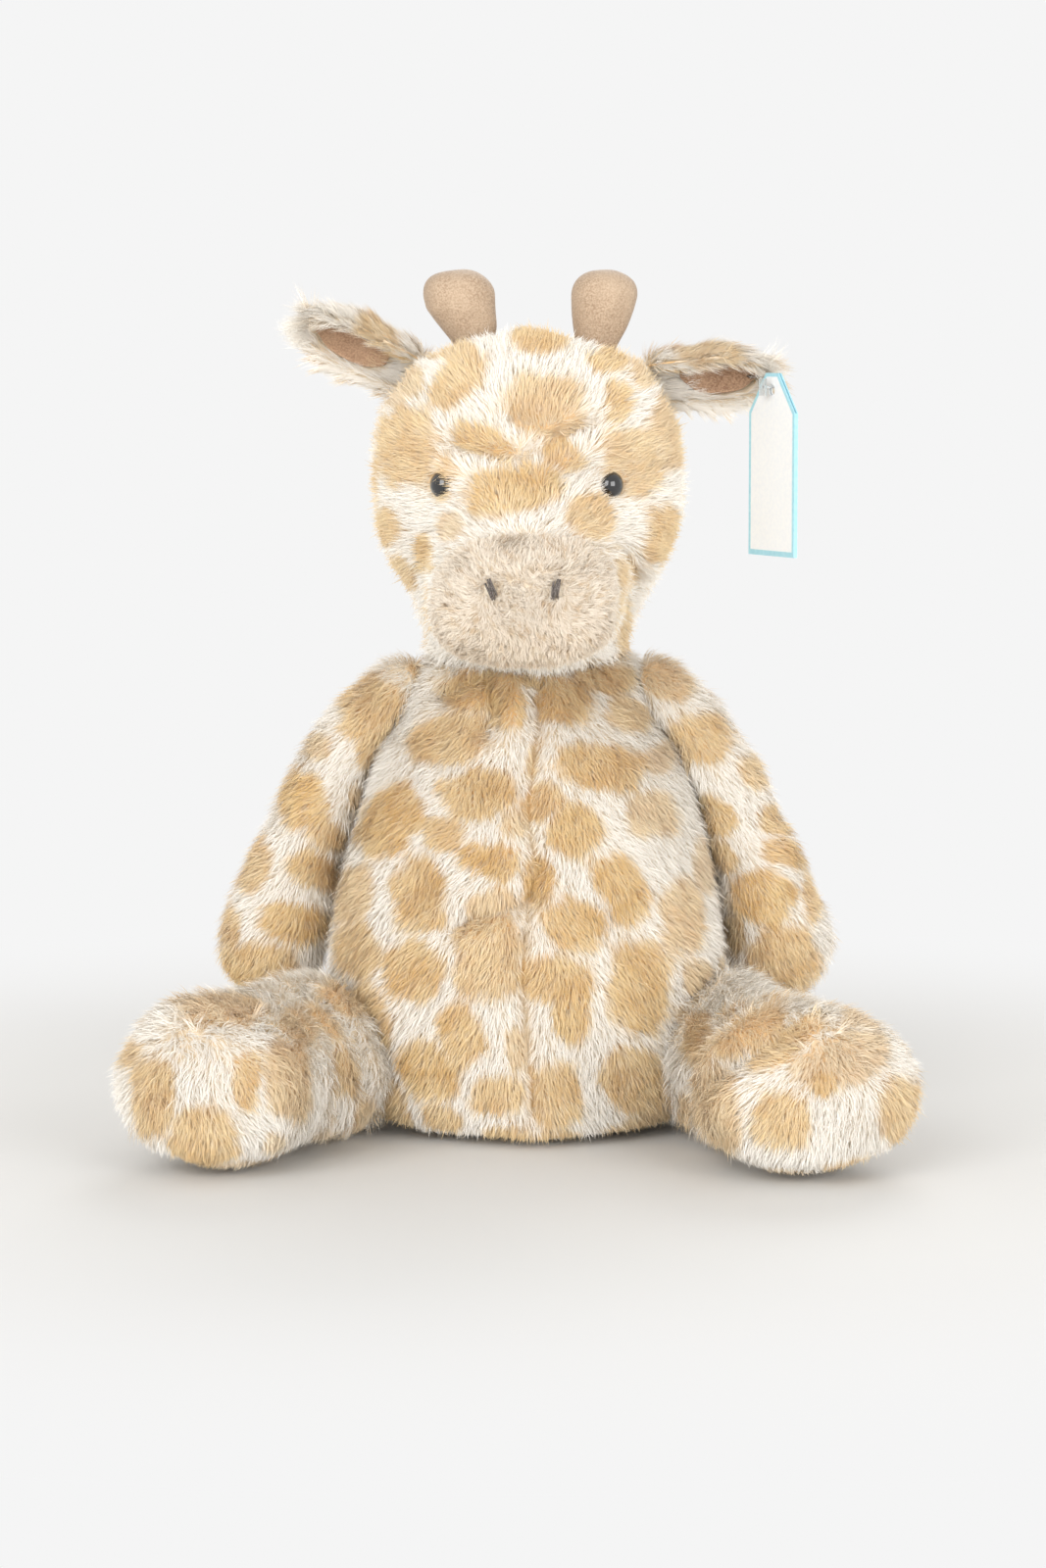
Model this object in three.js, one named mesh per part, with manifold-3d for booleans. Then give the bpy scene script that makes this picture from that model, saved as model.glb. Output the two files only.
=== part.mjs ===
// A seated plush giraffe: fur covers over stuffed bodies, with a ball-shaped neck, soft shoulders and hips,
// bending ears and horns, a tail and a folded card tag. Sizes are in millimetres. The toy sits facing -Y with
// +Z up, and the origin is the centre of its flat seat. Its own left side is at +X.
import * as THREE from "three";
import { mergeVertices } from "three/addons/utils/BufferGeometryUtils.js";
import Module from "manifold-3d";

const wasm = await Module();
wasm.setup();

// Cloth and clearances
const plush = { pile: 6, backing: 1 };
const plushThickness = plush.pile + plush.backing;
const curlyPlushThickness = 5;
const suedeThickness = 1.2;
const seamGap = 0.4; // between pieces that are sewn or pressed together
const turnGap = 0.5; // round a ball that its socket turns on
const overrun = 40; // how far a cutting body reaches past what it cuts
const liningGap = 0.6; // between the pile of an ear's back and its lining
const mergeDistance = 1e-4;

// Torso: a pear on a flat seat, ending in the ball of the neck
const torso = { halfWidth: 73.5, frontDepth: 62, backDepth: 60, squareness: 2.15 };
const neck = { height: 140, radius: 46, openingRadius: 22, threadRadius: 0.7, seamRadius: 36.9 };
const beanBag = { halfWidth: 44, halfDepth: 38, height: 26 };

// Head: a skull that narrows to the neck, and a snout ahead of it. The heights of the head's own pieces are
// above its lower edge.
const head = {
  aboveNeck: 28,
  height: 123,
  halfWidth: 57.5,
  frontDepth: 53,
  backDepth: 50,
  squareness: 2.1,
  turn: -1,
};
const snout = {
  root: -15,
  tip: -105,
  halfWidth: 39.5,
  chin: 4,
  bridge: 72,
  tipHeight: 28,
  squareness: 2.6,
};
const muzzleSeam = -70; // how far forward the curly panel starts
const headBottom = neck.height + head.aboveNeck;
const crown = headBottom + head.height;
const snoutMiddle = headBottom + snout.tipHeight;

// Eyes, nostrils and horns
const eye = {
  apart: 66,
  height: 67,
  radius: 4.75,
  dome: 3.8,
  sunk: 4,
  shankRadius: 1.6,
  shankLength: 13,
  turn: 44,
  sides: 12,
};
const eyeWasher = { radius: 7, thickness: 1.5, behindCover: 1 };
const nostril = {
  apart: 21.7,
  height: 34,
  halfLength: 2.9,
  halfWidth: 1.5,
  proud: 0.9,
  slant: 35,
  edge: 0.5,
};
const horns = {
  left: { out: 26, lean: 5, topRadius: 12.2, baseRadius: 6.6 },
  right: { out: -20, lean: -14, topRadius: 13.4, baseRadius: 7.4 },
};
const horn = { back: 4, top: 143.5, footAngle: 25, topCap: 12, openingRadius: 3.6, sides: 12 };

// Ears, each a cupped leaf that opens forwards and down, with a suede leaf inside
const ears = {
  left: { rise: 3, height: 102.5, out: 54.5 },
  right: { rise: 25, height: 109, out: 51 },
};
const ear = { radius: 13.5, length: 34, opening: 38, wrap: 106, liningWrap: 88, liningShare: 0.86, back: 0 };

// Limbs
const shoulder = { out: 31, aboveNeck: 17.5 };
const arm = {
  shoulderRadius: 14.5,
  forearmRadius: 17,
  handRadius: 20.5,
  handHeight: 65,
  handBack: 13,
  handCap: 20,
};
const arms = { left: { handOut: 92 }, right: { handOut: 94 } };
const leg = { hipWidth: 29, hipHeight: 31.5, footCap: 31, hipCap: 22, floorDip: 1.5 };
const legs = {
  left: { hipOut: 66, hipForward: 12, splay: 19, length: 93, footWidth: 40, footHeight: 31.5 },
  right: { hipOut: 67, hipForward: 16, splay: 28, length: 85, footWidth: 38.5, footHeight: 33 },
};

// Tail and tag
const tail = {
  pivotBack: 61.5,
  pivotHeight: 40,
  radius: 6.5,
  tuftRadius: 9,
  reach: 34,
  drop: 25,
  tuftLength: 26,
  bendOutShare: 0.62, // of the reach, at the tail's bend
  bendDownShare: 0.35, // of the drop
  endCapShare: 0.5, // of the radius
  tuftLapShare: 0.8, // of the radius, that the tuft reaches back over the tail
  tuftLowShare: 0.6, // of the tuft's radius, from the floor to its tip's middle
  tuftCapShare: 0.6, // of the tuft's radius
  tuftTipShare: 0.5,
};
const tag = {
  length: 65,
  width: 30,
  leaf: 0.5,
  fold: 0.5,
  shoulder: 14,
  topWidth: 8,
  holeRadius: 2,
  holeBelowTop: 6,
  hangsBelow: 1.1, // from the filament to the hole's middle
  turn: 60,
  beyondEarRoot: 33,
  belowEarRoot: 1.5,
  forward: 19,
};
const fastener = {
  radius: 0.5,
  beyondHole: 4.5,
  rise: 1.5,
  frontShare: 0.6, // of the ear's radius, where the filament leaves its front
  behindShare: 0.8, // of the ear's radius, where the bar lies behind it
  barLength: 9,
  barRadius: 0.7,
  paddleLength: 6,
  paddleWidth: 4,
  paddleThickness: 0.8,
};

const sideways = new THREE.Vector3(1, 0, 0);
const upright = new THREE.Vector3(0, 0, 1);
const backwards = new THREE.Vector3(0, 1, 0);
const point = (x, y, z) => new THREE.Vector3(x, y, z);

const colours = {
  plush: { color: 0xf3e9dc, roughness: 0.95, metalness: 0 },
  curlyPlush: { color: 0xe9dcc6, roughness: 0.95, metalness: 0 },
  suede: { color: 0xc9a98b, roughness: 0.9, metalness: 0 },
  darkSuede: { color: 0xa98568, roughness: 0.9, metalness: 0 },
  stuffing: { color: 0xf7f7f5, roughness: 1, metalness: 0 },
  beanCloth: { color: 0xd8d4cc, roughness: 0.9, metalness: 0 },
  blackPlastic: { color: 0x0c0b0b, roughness: 0.12, metalness: 0 },
  whitePlastic: { color: 0xeeeeea, roughness: 0.4, metalness: 0 },
  clearPlastic: { color: 0xe9eef0, roughness: 0.2, metalness: 0 },
  greyThread: { color: 0x6b6460, roughness: 0.85, metalness: 0 },
  creamThread: { color: 0xe8ddcc, roughness: 0.85, metalness: 0 },
  tanPlush: { color: 0xd9b07a, roughness: 0.95, metalness: 0 },
  card: { color: 0xf8fafb, roughness: 0.55, metalness: 0 },
};

// Solids from three.js geometry and back

function solidFrom(positions, triangles) {
  const vertProperties = new Float32Array(positions);
  const build = (faces) =>
    new wasm.Manifold(new wasm.Mesh({ numProp: 3, vertProperties, triVerts: new Uint32Array(faces) }));
  const solid = build(triangles);
  return solid.volume() < 0 ? build([...triangles].reverse()) : solid;
}

function solidOf(geometry, matrix = new THREE.Matrix4()) {
  const bare = geometry.clone().applyMatrix4(matrix);
  bare.deleteAttribute("normal");
  bare.deleteAttribute("uv");
  const merged = mergeVertices(bare, mergeDistance);
  return solidFrom(merged.attributes.position.array, Array.from(merged.index.array));
}

function geometryOf(solid) {
  const { vertProperties, triVerts } = solid.getMesh();
  const geometry = new THREE.BufferGeometry();
  geometry.setAttribute("position", new THREE.BufferAttribute(vertProperties, 3));
  geometry.setIndex(new THREE.BufferAttribute(triVerts, 1));
  geometry.computeVertexNormals();
  return geometry;
}

function addPiece(group, name, solid, finish) {
  const mesh = new THREE.Mesh(geometryOf(solid), new THREE.MeshStandardMaterial(colours[finish]));
  mesh.name = name;
  group.add(mesh);
}

const place = (x, y, z) => new THREE.Matrix4().makeTranslation(x, y, z);
const ball = (radius, x, y, z, sides) =>
  solidOf(new THREE.SphereGeometry(radius, sides, sides / 2).rotateX(Math.PI / 2), place(x, y, z));
// A ball that clears a radius all over, its facets included.
const ballRoom = (radius, x, y, z, sides) => ball(radius / Math.cos(Math.PI / sides) ** 2, x, y, z, sides);
const block = (width, depth, height, x, y, z) =>
  solidOf(new THREE.BoxGeometry(width, depth, height), place(x, y, z));

// Surfaces swept through rings

// A closed body through rings of equal count, drawn to one point at each end.
function loft(rings, startPoint, endPoint) {
  const sides = rings[0].length;
  const positions = [startPoint, ...rings.flat(), endPoint].flatMap((p) => p.toArray());
  const lastRing = 1 + (rings.length - 1) * sides;
  const triangles = [];
  for (let k = 0; k < sides; k++) {
    const next = (k + 1) % sides;
    triangles.push(0, 1 + next, 1 + k);
    for (let r = 1; r < lastRing; r += sides)
      triangles.push(r + k, r + next, r + sides + k, r + next, r + sides + next, r + sides + k);
    triangles.push(lastRing + k, lastRing + next, lastRing + sides);
  }
  return solidFrom(positions, triangles);
}

// A ring on a rounded oval round a centre. Squareness 2 is an ellipse, and more is boxier.
const ellipse = 2;
function ovalRing(centre, acrossAxis, deepAxis, size, squareness, sides) {
  const power = 2 / squareness;
  return Array.from({ length: sides }, (_, k) => {
    const angle = (2 * Math.PI * k) / sides;
    const c = Math.cos(angle);
    const s = Math.sin(angle);
    const depth = s < 0 ? size.front : size.back;
    return centre
      .clone()
      .addScaledVector(acrossAxis, Math.sign(c) * Math.abs(c) ** power * size.across)
      .addScaledVector(deepAxis, Math.sign(s) * Math.abs(s) ** power * depth);
  });
}

// Values of a table at one share of its first column, on smooth curves through its rows.
function readShares(rows, share) {
  const i = Math.min(Math.max(rows.findIndex((row) => row[0] > share) - 1, 0), rows.length - 2);
  const start = share >= rows[rows.length - 1][0] ? rows.length - 2 : i;
  const rowAt = (index) => rows[Math.min(Math.max(index, 0), rows.length - 1)];
  const [before, from, to, after] = [-1, 0, 1, 2].map((k) => rowAt(start + k));
  const span = to[0] - from[0];
  const t = (share - from[0]) / span;
  return from.slice(1).map((value, c) => {
    const column = c + 1;
    const slopeFrom = ((to[column] - before[column]) / (to[0] - before[0])) * span;
    const slopeTo = ((after[column] - from[column]) / (after[0] - from[0])) * span;
    return (
      value * (2 * t ** 3 - 3 * t ** 2 + 1) +
      slopeFrom * (t ** 3 - 2 * t ** 2 + t) +
      to[column] * (3 * t ** 2 - 2 * t ** 3) +
      slopeTo * (t ** 3 - t ** 2)
    );
  });
}

// The first column of a table, with more shares put between its rows.
function sharesBetween(rows, steps) {
  const shares = rows.slice(1).flatMap((row, i) => {
    const from = rows[i][0];
    return Array.from({ length: steps }, (_, k) => from + ((row[0] - from) * k) / steps);
  });
  return [...shares, rows[rows.length - 1][0]];
}

// Torso

// Height, half width and depth, as shares of the neck's height, the torso's half width and its depths.
const torsoShares = [
  [0.0, 0.7, 0.76],
  [0.03, 0.8, 0.85],
  [0.1, 0.905, 0.93],
  [0.25, 0.98, 0.985],
  [0.45, 1.0, 1.0],
  [0.64, 0.95, 0.972],
  [0.78, 0.89, 0.925],
  [0.9, 0.81, 0.865],
  [1.0, 0.718, 0.8],
];
const domeStartAngle = 70; // from upright, where the pear runs into the neck's ball

// The torso's outside, or its outside drawn in by an inset.
function torsoBody(inset, steps, sides, domeSteps) {
  const pear = sharesBetween(torsoShares, steps).map((share) => {
    const [width, depth] = readShares(torsoShares, share);
    const size = {
      across: width * torso.halfWidth - inset,
      front: depth * torso.frontDepth - inset,
      back: depth * torso.backDepth - inset,
    };
    const height = Math.max(share * neck.height, inset);
    return ovalRing(point(0, 0, height), sideways, backwards, size, torso.squareness, sides);
  });
  const radius = neck.radius - inset;
  const dome = Array.from({ length: domeSteps }, (_, k) => {
    const angle = THREE.MathUtils.degToRad(domeStartAngle * (1 - k / domeSteps));
    const across = radius * Math.sin(angle);
    const size = { across, front: across, back: across };
    const centre = point(0, 0, neck.height + radius * Math.cos(angle));
    return ovalRing(centre, sideways, backwards, size, ellipse, sides);
  });
  return loft([...pear, ...dome], point(0, 0, inset), point(0, 0, neck.height + radius));
}

const torsoOutside = torsoBody(0, 1, 24, 4);
const torsoRoom = torsoBody(-seamGap, 1, 24, 4); // what a piece sewn to the torso keeps out of
const besideNeck = neck.seamRadius + neck.threadRadius + 2 * turnGap;
const neckRoom = block(2 * besideNeck, 2 * neck.radius, 2 * neck.radius, 0, 0, neck.height + neck.radius);
const coverInside = { steps: 1, sides: 14, domeSteps: 2 };

function torsoFrom(inset) {
  return torsoBody(inset, coverInside.steps, coverInside.sides, coverInside.domeSteps);
}

// The pellet bag: a flat round pillow on the inside of the seat.
function beanBagBody(grow) {
  const middle = plushThickness + seamGap + beanBag.height / 2;
  const size = [beanBag.halfWidth + grow, beanBag.halfDepth + grow, beanBag.height / 2 + grow];
  return solidOf(new THREE.SphereGeometry(1, 16, 8).rotateX(Math.PI / 2).scale(...size), place(0, 0, middle));
}

function makeTorso(group) {
  const opening = solidOf(
    new THREE.CylinderGeometry(neck.openingRadius, neck.openingRadius, neck.radius, 20).rotateX(Math.PI / 2),
    place(0, 0, neck.height + neck.radius),
  );
  const tailDimple = ballRoom(tail.radius + turnGap, 0, tail.pivotBack, tail.pivotHeight, 12);
  const cover = torsoOutside.subtract(torsoFrom(plushThickness)).subtract(opening).subtract(tailDimple);
  addPiece(group, "torso_cover", cover, "plush");
  const stuffing = torsoFrom(plushThickness + seamGap).subtract(beanBagBody(seamGap));
  addPiece(group, "torso_stuffing", stuffing, "stuffing");
  addPiece(group, "seat_bean_bag", beanBagBody(0), "beanCloth");
}

// Head

// Height between the neck and the crown, half width, front depth and back depth, as shares.
const skullShares = [
  [0.0, 0.615, 0.67, 0.71],
  [0.08, 0.64, 0.73, 0.75],
  [0.195, 0.72, 0.84, 0.83],
  [0.317, 0.9, 0.94, 0.93],
  [0.44, 0.98, 0.985, 0.985],
  [0.553, 1.0, 1.0, 1.0],
  [0.683, 0.975, 0.96, 0.97],
  [0.797, 0.9, 0.87, 0.88],
  [0.894, 0.77, 0.72, 0.74],
  [0.959, 0.55, 0.51, 0.53],
  [0.99, 0.28, 0.26, 0.27],
];

function skullBody(inset, steps, sides) {
  const rings = sharesBetween(skullShares, steps).map((share) => {
    const [width, front, back] = readShares(skullShares, share);
    const size = {
      across: width * head.halfWidth - inset,
      front: front * head.frontDepth - inset,
      back: back * head.backDepth - inset,
    };
    const height = Math.min(headBottom + share * head.height, crown - inset);
    return ovalRing(point(0, 0, height), sideways, backwards, size, head.squareness, sides);
  });
  // The narrow ring by the crown has no room for an inset, so the body closes on the ring before it.
  const closing = inset > 0 ? rings.slice(0, -steps) : rings;
  return loft(closing, point(0, 0, headBottom), point(0, 0, crown - inset));
}

// Length from root to tip, half width, bridge height and chin height, as shares of the snout's sizes, the two
// heights being measured from the tip.
const snoutShares = [
  [0.0, 0.9, 1.0, 0.92],
  [0.33, 0.93, 0.9, 0.96],
  [0.52, 0.91, 0.7, 1.0],
  [0.7, 0.875, 0.54, 1.0],
  [0.83, 0.82, 0.45, 0.98],
  [0.92, 0.71, 0.36, 0.84],
  [0.978, 0.48, 0.22, 0.55],
];

function snoutBody(inset, steps, sides) {
  const long = snout.tip - snout.root;
  const rings = sharesBetween(snoutShares, steps).map((share) => {
    const [width, bridge, chin] = readShares(snoutShares, share);
    const size = {
      across: width * snout.halfWidth - inset,
      front: chin * (snout.tipHeight - snout.chin) - inset,
      back: bridge * (snout.bridge - snout.tipHeight) - inset,
    };
    const forward = Math.max(snout.root + share * long, snout.tip + inset);
    return ovalRing(point(0, forward, snoutMiddle), sideways, upright, size, snout.squareness, sides);
  });
  return loft(rings, point(0, snout.root, snoutMiddle), point(0, snout.tip + inset, snoutMiddle));
}

const headBody = (inset, steps, skullSides, snoutSides) =>
  skullBody(inset, steps, skullSides).add(snoutBody(inset, steps, snoutSides));
const headFrom = (inset) => headBody(inset, 1, 12, 10);

const halvings = 30; // of the span in which a place on a surface is looked for
const crownSearchShare = 0.5; // of the head's height, where the look for its crown starts

// How far forward the skull's cover lies at a place across it and a height.
function faceForward(across, height) {
  const [width, front] = readShares(skullShares, (height - headBottom) / head.height);
  const share = Math.abs(across / (width * head.halfWidth)) ** head.squareness;
  return -front * head.frontDepth * (1 - share) ** (1 / head.squareness);
}

// How far forward the snout's rounded end lies at a place across it and a height.
function snoutEnd(across, height) {
  const radial = (share) => {
    const [width, bridge] = readShares(snoutShares, share);
    const out = Math.abs(across / (width * snout.halfWidth)) ** snout.squareness;
    const up = Math.abs((height - snoutMiddle) / (bridge * (snout.bridge - snout.tipHeight)));
    return (out + up ** snout.squareness) ** (1 / snout.squareness);
  };
  const long = snout.tip - snout.root;
  const last = snoutShares[snoutShares.length - 1][0];
  if (radial(last) < 1) return snout.tip - radial(last) * (1 - last) * long;
  let [inside, outside] = [snoutShares[0][0], last];
  for (let k = 0; k < halvings; k++) {
    const middle = (inside + outside) / 2;
    if (radial(middle) < 1) inside = middle;
    else outside = middle;
  }
  return snout.root + inside * long;
}

// The height of the skull's crown at a place across it and behind its middle.
function crownHeight(across, back) {
  const radial = (share) => {
    const [width, , depth] = readShares(skullShares, share);
    const out = Math.abs(across / (width * head.halfWidth)) ** head.squareness;
    return out + Math.abs(back / (depth * head.backDepth)) ** head.squareness;
  };
  let [inside, outside] = [crownSearchShare, 1];
  for (let k = 0; k < halvings; k++) {
    const middle = (inside + outside) / 2;
    if (radial(middle) < 1) inside = middle;
    else outside = middle;
  }
  return headBottom + inside * head.height;
}

// A frame on the face at one eye: its origin lies where the eye's flat back sits, and its +Z points outwards.
function eyeFrame(side) {
  const across = (side * eye.apart) / 2;
  const height = headBottom + eye.height;
  const turn = THREE.MathUtils.degToRad(eye.turn) * side;
  const outwards = point(Math.sin(turn), -Math.cos(turn), 0);
  const seat = point(across, faceForward(across, height), height).addScaledVector(outwards, -eye.sunk);
  const along = new THREE.Vector3().crossVectors(upright, outwards);
  return new THREE.Matrix4().makeBasis(along, upright, outwards).setPosition(seat);
}

// A turned piece about +Z of a frame, from its outline of radius and height.
const turned = (outline, sides, matrix) =>
  solidOf(
    new THREE.LatheGeometry(
      outline.map(([r, z]) => new THREE.Vector2(r, z)),
      sides,
    ).rotateX(Math.PI / 2),
    matrix,
  );

function eyeBody(matrix, grow) {
  const radius = eye.radius + grow;
  const steps = 5;
  const dome = Array.from({ length: steps + 1 }, (_, k) => {
    const angle = (Math.PI / 2) * (k / steps);
    return [radius * Math.cos(angle), (eye.dome + grow) * Math.sin(angle)];
  });
  dome[dome.length - 1][0] = 0;
  const outline = [
    [0, -eye.shankLength - grow],
    [eye.shankRadius + grow, -eye.shankLength - grow],
    [eye.shankRadius + grow, -grow],
    [radius, -grow],
    ...dome,
  ];
  return turned(outline, eye.sides, matrix);
}

function washerBody(matrix, grow, holeRadius) {
  const front = -(plushThickness - eye.sunk) - eyeWasher.behindCover + grow;
  const back = front - eyeWasher.thickness - 2 * grow;
  const outline = [
    [holeRadius, back],
    [eyeWasher.radius + grow, back],
    [eyeWasher.radius + grow, front],
    [holeRadius, front],
    [holeRadius, back],
  ];
  return turned(outline, eye.sides, matrix);
}

// The opening in the pile that an eye looks out of.
function eyePocket(matrix) {
  const radius = eye.radius + seamGap;
  const outline = [
    [0, -seamGap],
    [radius, -seamGap],
    [radius, eye.sunk + eye.radius],
    [0, eye.sunk + eye.radius],
  ];
  return turned(outline, eye.sides, matrix);
}

// The stuffed horn's outline about its own axis, with a ball at the foot that the crown's dimple holds.
function hornBody(size, inset, matrix) {
  const long = hornLength(size);
  const foot = size.baseRadius - inset;
  const top = size.topRadius - inset;
  const footAngle = THREE.MathUtils.degToRad(horn.footAngle);
  const steps = 4; // in each part of the outline
  const ballPart = Array.from({ length: steps }, (_, k) => {
    const angle = ((Math.PI / 2 + footAngle) * k) / steps - Math.PI / 2;
    return [foot * Math.cos(angle), foot * Math.sin(angle)];
  });
  const [waist, waistHeight] = [foot * Math.cos(footAngle), foot * Math.sin(footAngle)];
  const flarePart = Array.from({ length: steps + 1 }, (_, k) => {
    const share = k / steps;
    const radius = waist + (top - waist) * share * share * (3 - 2 * share);
    return [radius, waistHeight + (long - horn.topCap - waistHeight) * share];
  });
  const capPart = Array.from({ length: steps }, (_, k) => {
    const angle = (Math.PI / 2) * ((k + 1) / steps);
    return [top * Math.cos(angle), long - horn.topCap + (horn.topCap - inset) * Math.sin(angle)];
  });
  ballPart[0][0] = 0;
  capPart[capPart.length - 1][0] = 0;
  return turned([...ballPart, ...flarePart, ...capPart], horn.sides, matrix);
}

const hornPivotHeight = (size) => crownHeight(size.out, horn.back);
const hornRise = (size) => headBottom + horn.top - hornPivotHeight(size);
const hornLength = (size) => hornRise(size) / Math.cos(THREE.MathUtils.degToRad(size.lean));

function hornFrame(size) {
  const lean = new THREE.Matrix4().makeRotationY(THREE.MathUtils.degToRad(size.lean));
  return place(size.out, horn.back, hornPivotHeight(size)).multiply(lean);
}

// The dimple that a horn's foot turns in.
const hornRoom = (size, gap) =>
  ballRoom(size.baseRadius + gap, size.out, horn.back, hornPivotHeight(size), horn.sides);

function makeHorn(group, name, size) {
  const frame = hornFrame(size);
  const below = -size.baseRadius - overrun;
  const hole = [
    [0, below],
    [horn.openingRadius, below],
    [horn.openingRadius, 0],
    [0, 0],
  ];
  const opening = turned(hole, horn.sides, frame);
  const cover = hornBody(size, 0, frame).subtract(hornBody(size, suedeThickness, frame)).subtract(opening);
  addPiece(group, `horn_cover_${name}`, cover, "suede");
  addPiece(group, `horn_stuffing_${name}`, hornBody(size, suedeThickness + seamGap, frame), "stuffing");
}

// Length from root to tip and the leaf's radius, as shares.
const earShares = [
  [0.0, 0.9],
  [0.1, 0.87],
  [0.33, 1.0],
  [0.57, 0.93],
  [0.8, 0.66],
  [1.0, 0.3],
];

const earRootRadius = ear.radius * earShares[0][1];
const earRoot = (side, size) => point(side * size.out, ear.back, headBottom + size.height);
const earRoom = (side, size, gap) => ballRoom(earRootRadius + gap, ...earRoot(side, size), 12);

// A frame at one ear's root: +X runs out along the ear, and +Z is its upper edge.
function earFrame(side, size) {
  const rise = THREE.MathUtils.degToRad(size.rise);
  const out = point(side * Math.cos(rise), 0, Math.sin(rise));
  const up = point(-side * Math.sin(rise), 0, Math.cos(rise));
  const back = new THREE.Vector3().crossVectors(up, out).multiplyScalar(side);
  return new THREE.Matrix4().makeBasis(out, back, up).setPosition(earRoot(side, size));
}

// A cupped leaf between two depths in the ear's radius, wrapped by an angle to each side of its back.
function cuppedLeaf(matrix, outerDepth, innerDepth, wrap, start, end) {
  const opening = THREE.MathUtils.degToRad(ear.opening);
  const half = THREE.MathUtils.degToRad(wrap);
  const steps = 7; // round the leaf
  const stations = 7; // along it
  const rows = [];
  for (let i = 0; i <= stations; i++) {
    const along = start + ((end - start) * i) / stations;
    const rounding = along < 0 ? Math.sqrt(1 - (along / earRootRadius) ** 2) : 1;
    const [share] = readShares(earShares, Math.max(along, 0) / ear.length);
    const full = share * ear.radius * rounding;
    const outer = full * (1 - outerDepth / ear.radius);
    const inner = full * (1 - innerDepth / ear.radius);
    const row = [];
    for (let k = 0; k <= steps; k++) row.push([outer, k]);
    for (let k = steps; k >= 0; k--) row.push([inner, k]);
    rows.push(
      row.map(([radius, k]) => {
        const angle = opening + half * (1 - (2 * k) / steps);
        return point(along, radius * Math.cos(angle), radius * Math.sin(angle)).applyMatrix4(matrix);
      }),
    );
  }
  return bandBody(rows, steps);
}

// A closed body from rows that each run out along an outer arc and back along an inner one.
function bandBody(rows, steps) {
  const count = rows[0].length;
  const positions = rows.flat().flatMap((p) => p.toArray());
  const triangles = [];
  const last = (rows.length - 1) * count;
  for (let r = 0; r < last; r += count)
    for (let k = 0; k < count; k++) {
      const next = (k + 1) % count;
      triangles.push(r + k, r + next, r + count + k, r + next, r + count + next, r + count + k);
    }
  for (let k = 0; k < steps; k++) {
    const [a, b, c, d] = [k, k + 1, count - 2 - k, count - 1 - k];
    triangles.push(a, c, b, a, d, c, last + a, last + b, last + c, last + a, last + c, last + d);
  }
  return solidFrom(positions, triangles);
}

function makeEar(group, name, side, size, fastenerRoom) {
  const frame = earFrame(side, size);
  const rootStart = -plushThickness;
  const back = cuppedLeaf(frame, 0, plush.pile, ear.wrap, rootStart, ear.length);
  addPiece(group, `ear_back_${name}`, fastenerRoom ? back.subtract(fastenerRoom) : back, "plush");
  const front = plush.pile + liningGap;
  const liningEnd = ear.length * ear.liningShare;
  const lining = cuppedLeaf(frame, front, front + suedeThickness, ear.liningWrap, 0, liningEnd);
  addPiece(group, `ear_lining_${name}`, fastenerRoom ? lining.subtract(fastenerRoom) : lining, "darkSuede");
}

function makeHead(group) {
  const eyes = [
    ["left", 1],
    ["right", -1],
  ].map(([name, side]) => ({ name, frame: eyeFrame(side) }));
  const seat = ballRoom(neck.radius + turnGap, 0, 0, neck.height, 20);
  const stuffingSeat = ballRoom(neck.radius + turnGap + seamGap, 0, 0, neck.height, 20);
  const wide = 4 * overrun;
  const ahead = (gap) => block(wide, 2 * overrun, wide, 0, muzzleSeam - overrun - gap, snoutMiddle);
  const outside = headBody(0, 1, 24, 18);

  let cover = outside.subtract(headFrom(plushThickness)).subtract(seat).subtract(ahead(0));
  let stuffing = headFrom(plushThickness + seamGap)
    .add(snoutBody(curlyPlushThickness + seamGap, 1, 10).intersect(ahead(seamGap)))
    .subtract(stuffingSeat);
  for (const { frame } of eyes) {
    const fittings = eyeBody(frame, seamGap).add(washerBody(frame, seamGap, 0));
    cover = cover.subtract(eyePocket(frame)).subtract(fittings);
    stuffing = stuffing.subtract(fittings);
  }
  for (const size of Object.values(horns)) {
    cover = cover.subtract(hornRoom(size, seamGap));
    stuffing = stuffing.subtract(hornRoom(size, 2 * seamGap));
  }
  for (const [side, size] of [
    [1, ears.left],
    [-1, ears.right],
  ]) {
    cover = cover.subtract(earRoom(side, size, seamGap));
    stuffing = stuffing.subtract(earRoom(side, size, 2 * seamGap));
  }
  addPiece(group, "head_cover", cover, "plush");
  addPiece(group, "head_stuffing", stuffing, "stuffing");

  const panel = snoutBody(0, 1, 18).subtract(snoutBody(curlyPlushThickness, 1, 10)).intersect(ahead(seamGap));
  addPiece(group, "muzzle_panel", panel, "curlyPlush");

  for (const { name, frame } of eyes) {
    addPiece(group, `eye_${name}`, eyeBody(frame, 0), "blackPlastic");
    const hole = eye.shankRadius + seamGap;
    addPiece(group, `eye_washer_${name}`, washerBody(frame, 0, hole), "whitePlastic");
  }
}

// A nostril: a short slanted bar of thread that lies on the curly panel.
function makeNostril(group, name, side) {
  const across = (side * nostril.apart) / 2;
  const height = headBottom + nostril.height;
  const forward = snoutEnd(across, height);
  const shape = new THREE.SphereGeometry(1, 14, 8)
    .scale(nostril.halfLength, nostril.proud + nostril.edge, nostril.halfWidth)
    .rotateY(THREE.MathUtils.degToRad(-side * nostril.slant));
  const bar = solidOf(shape, place(across, forward, height));
  addPiece(group, `nostril_stitch_${name}`, bar.subtract(snoutBody(-seamGap, 1, 18)), "greyThread");
}

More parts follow.
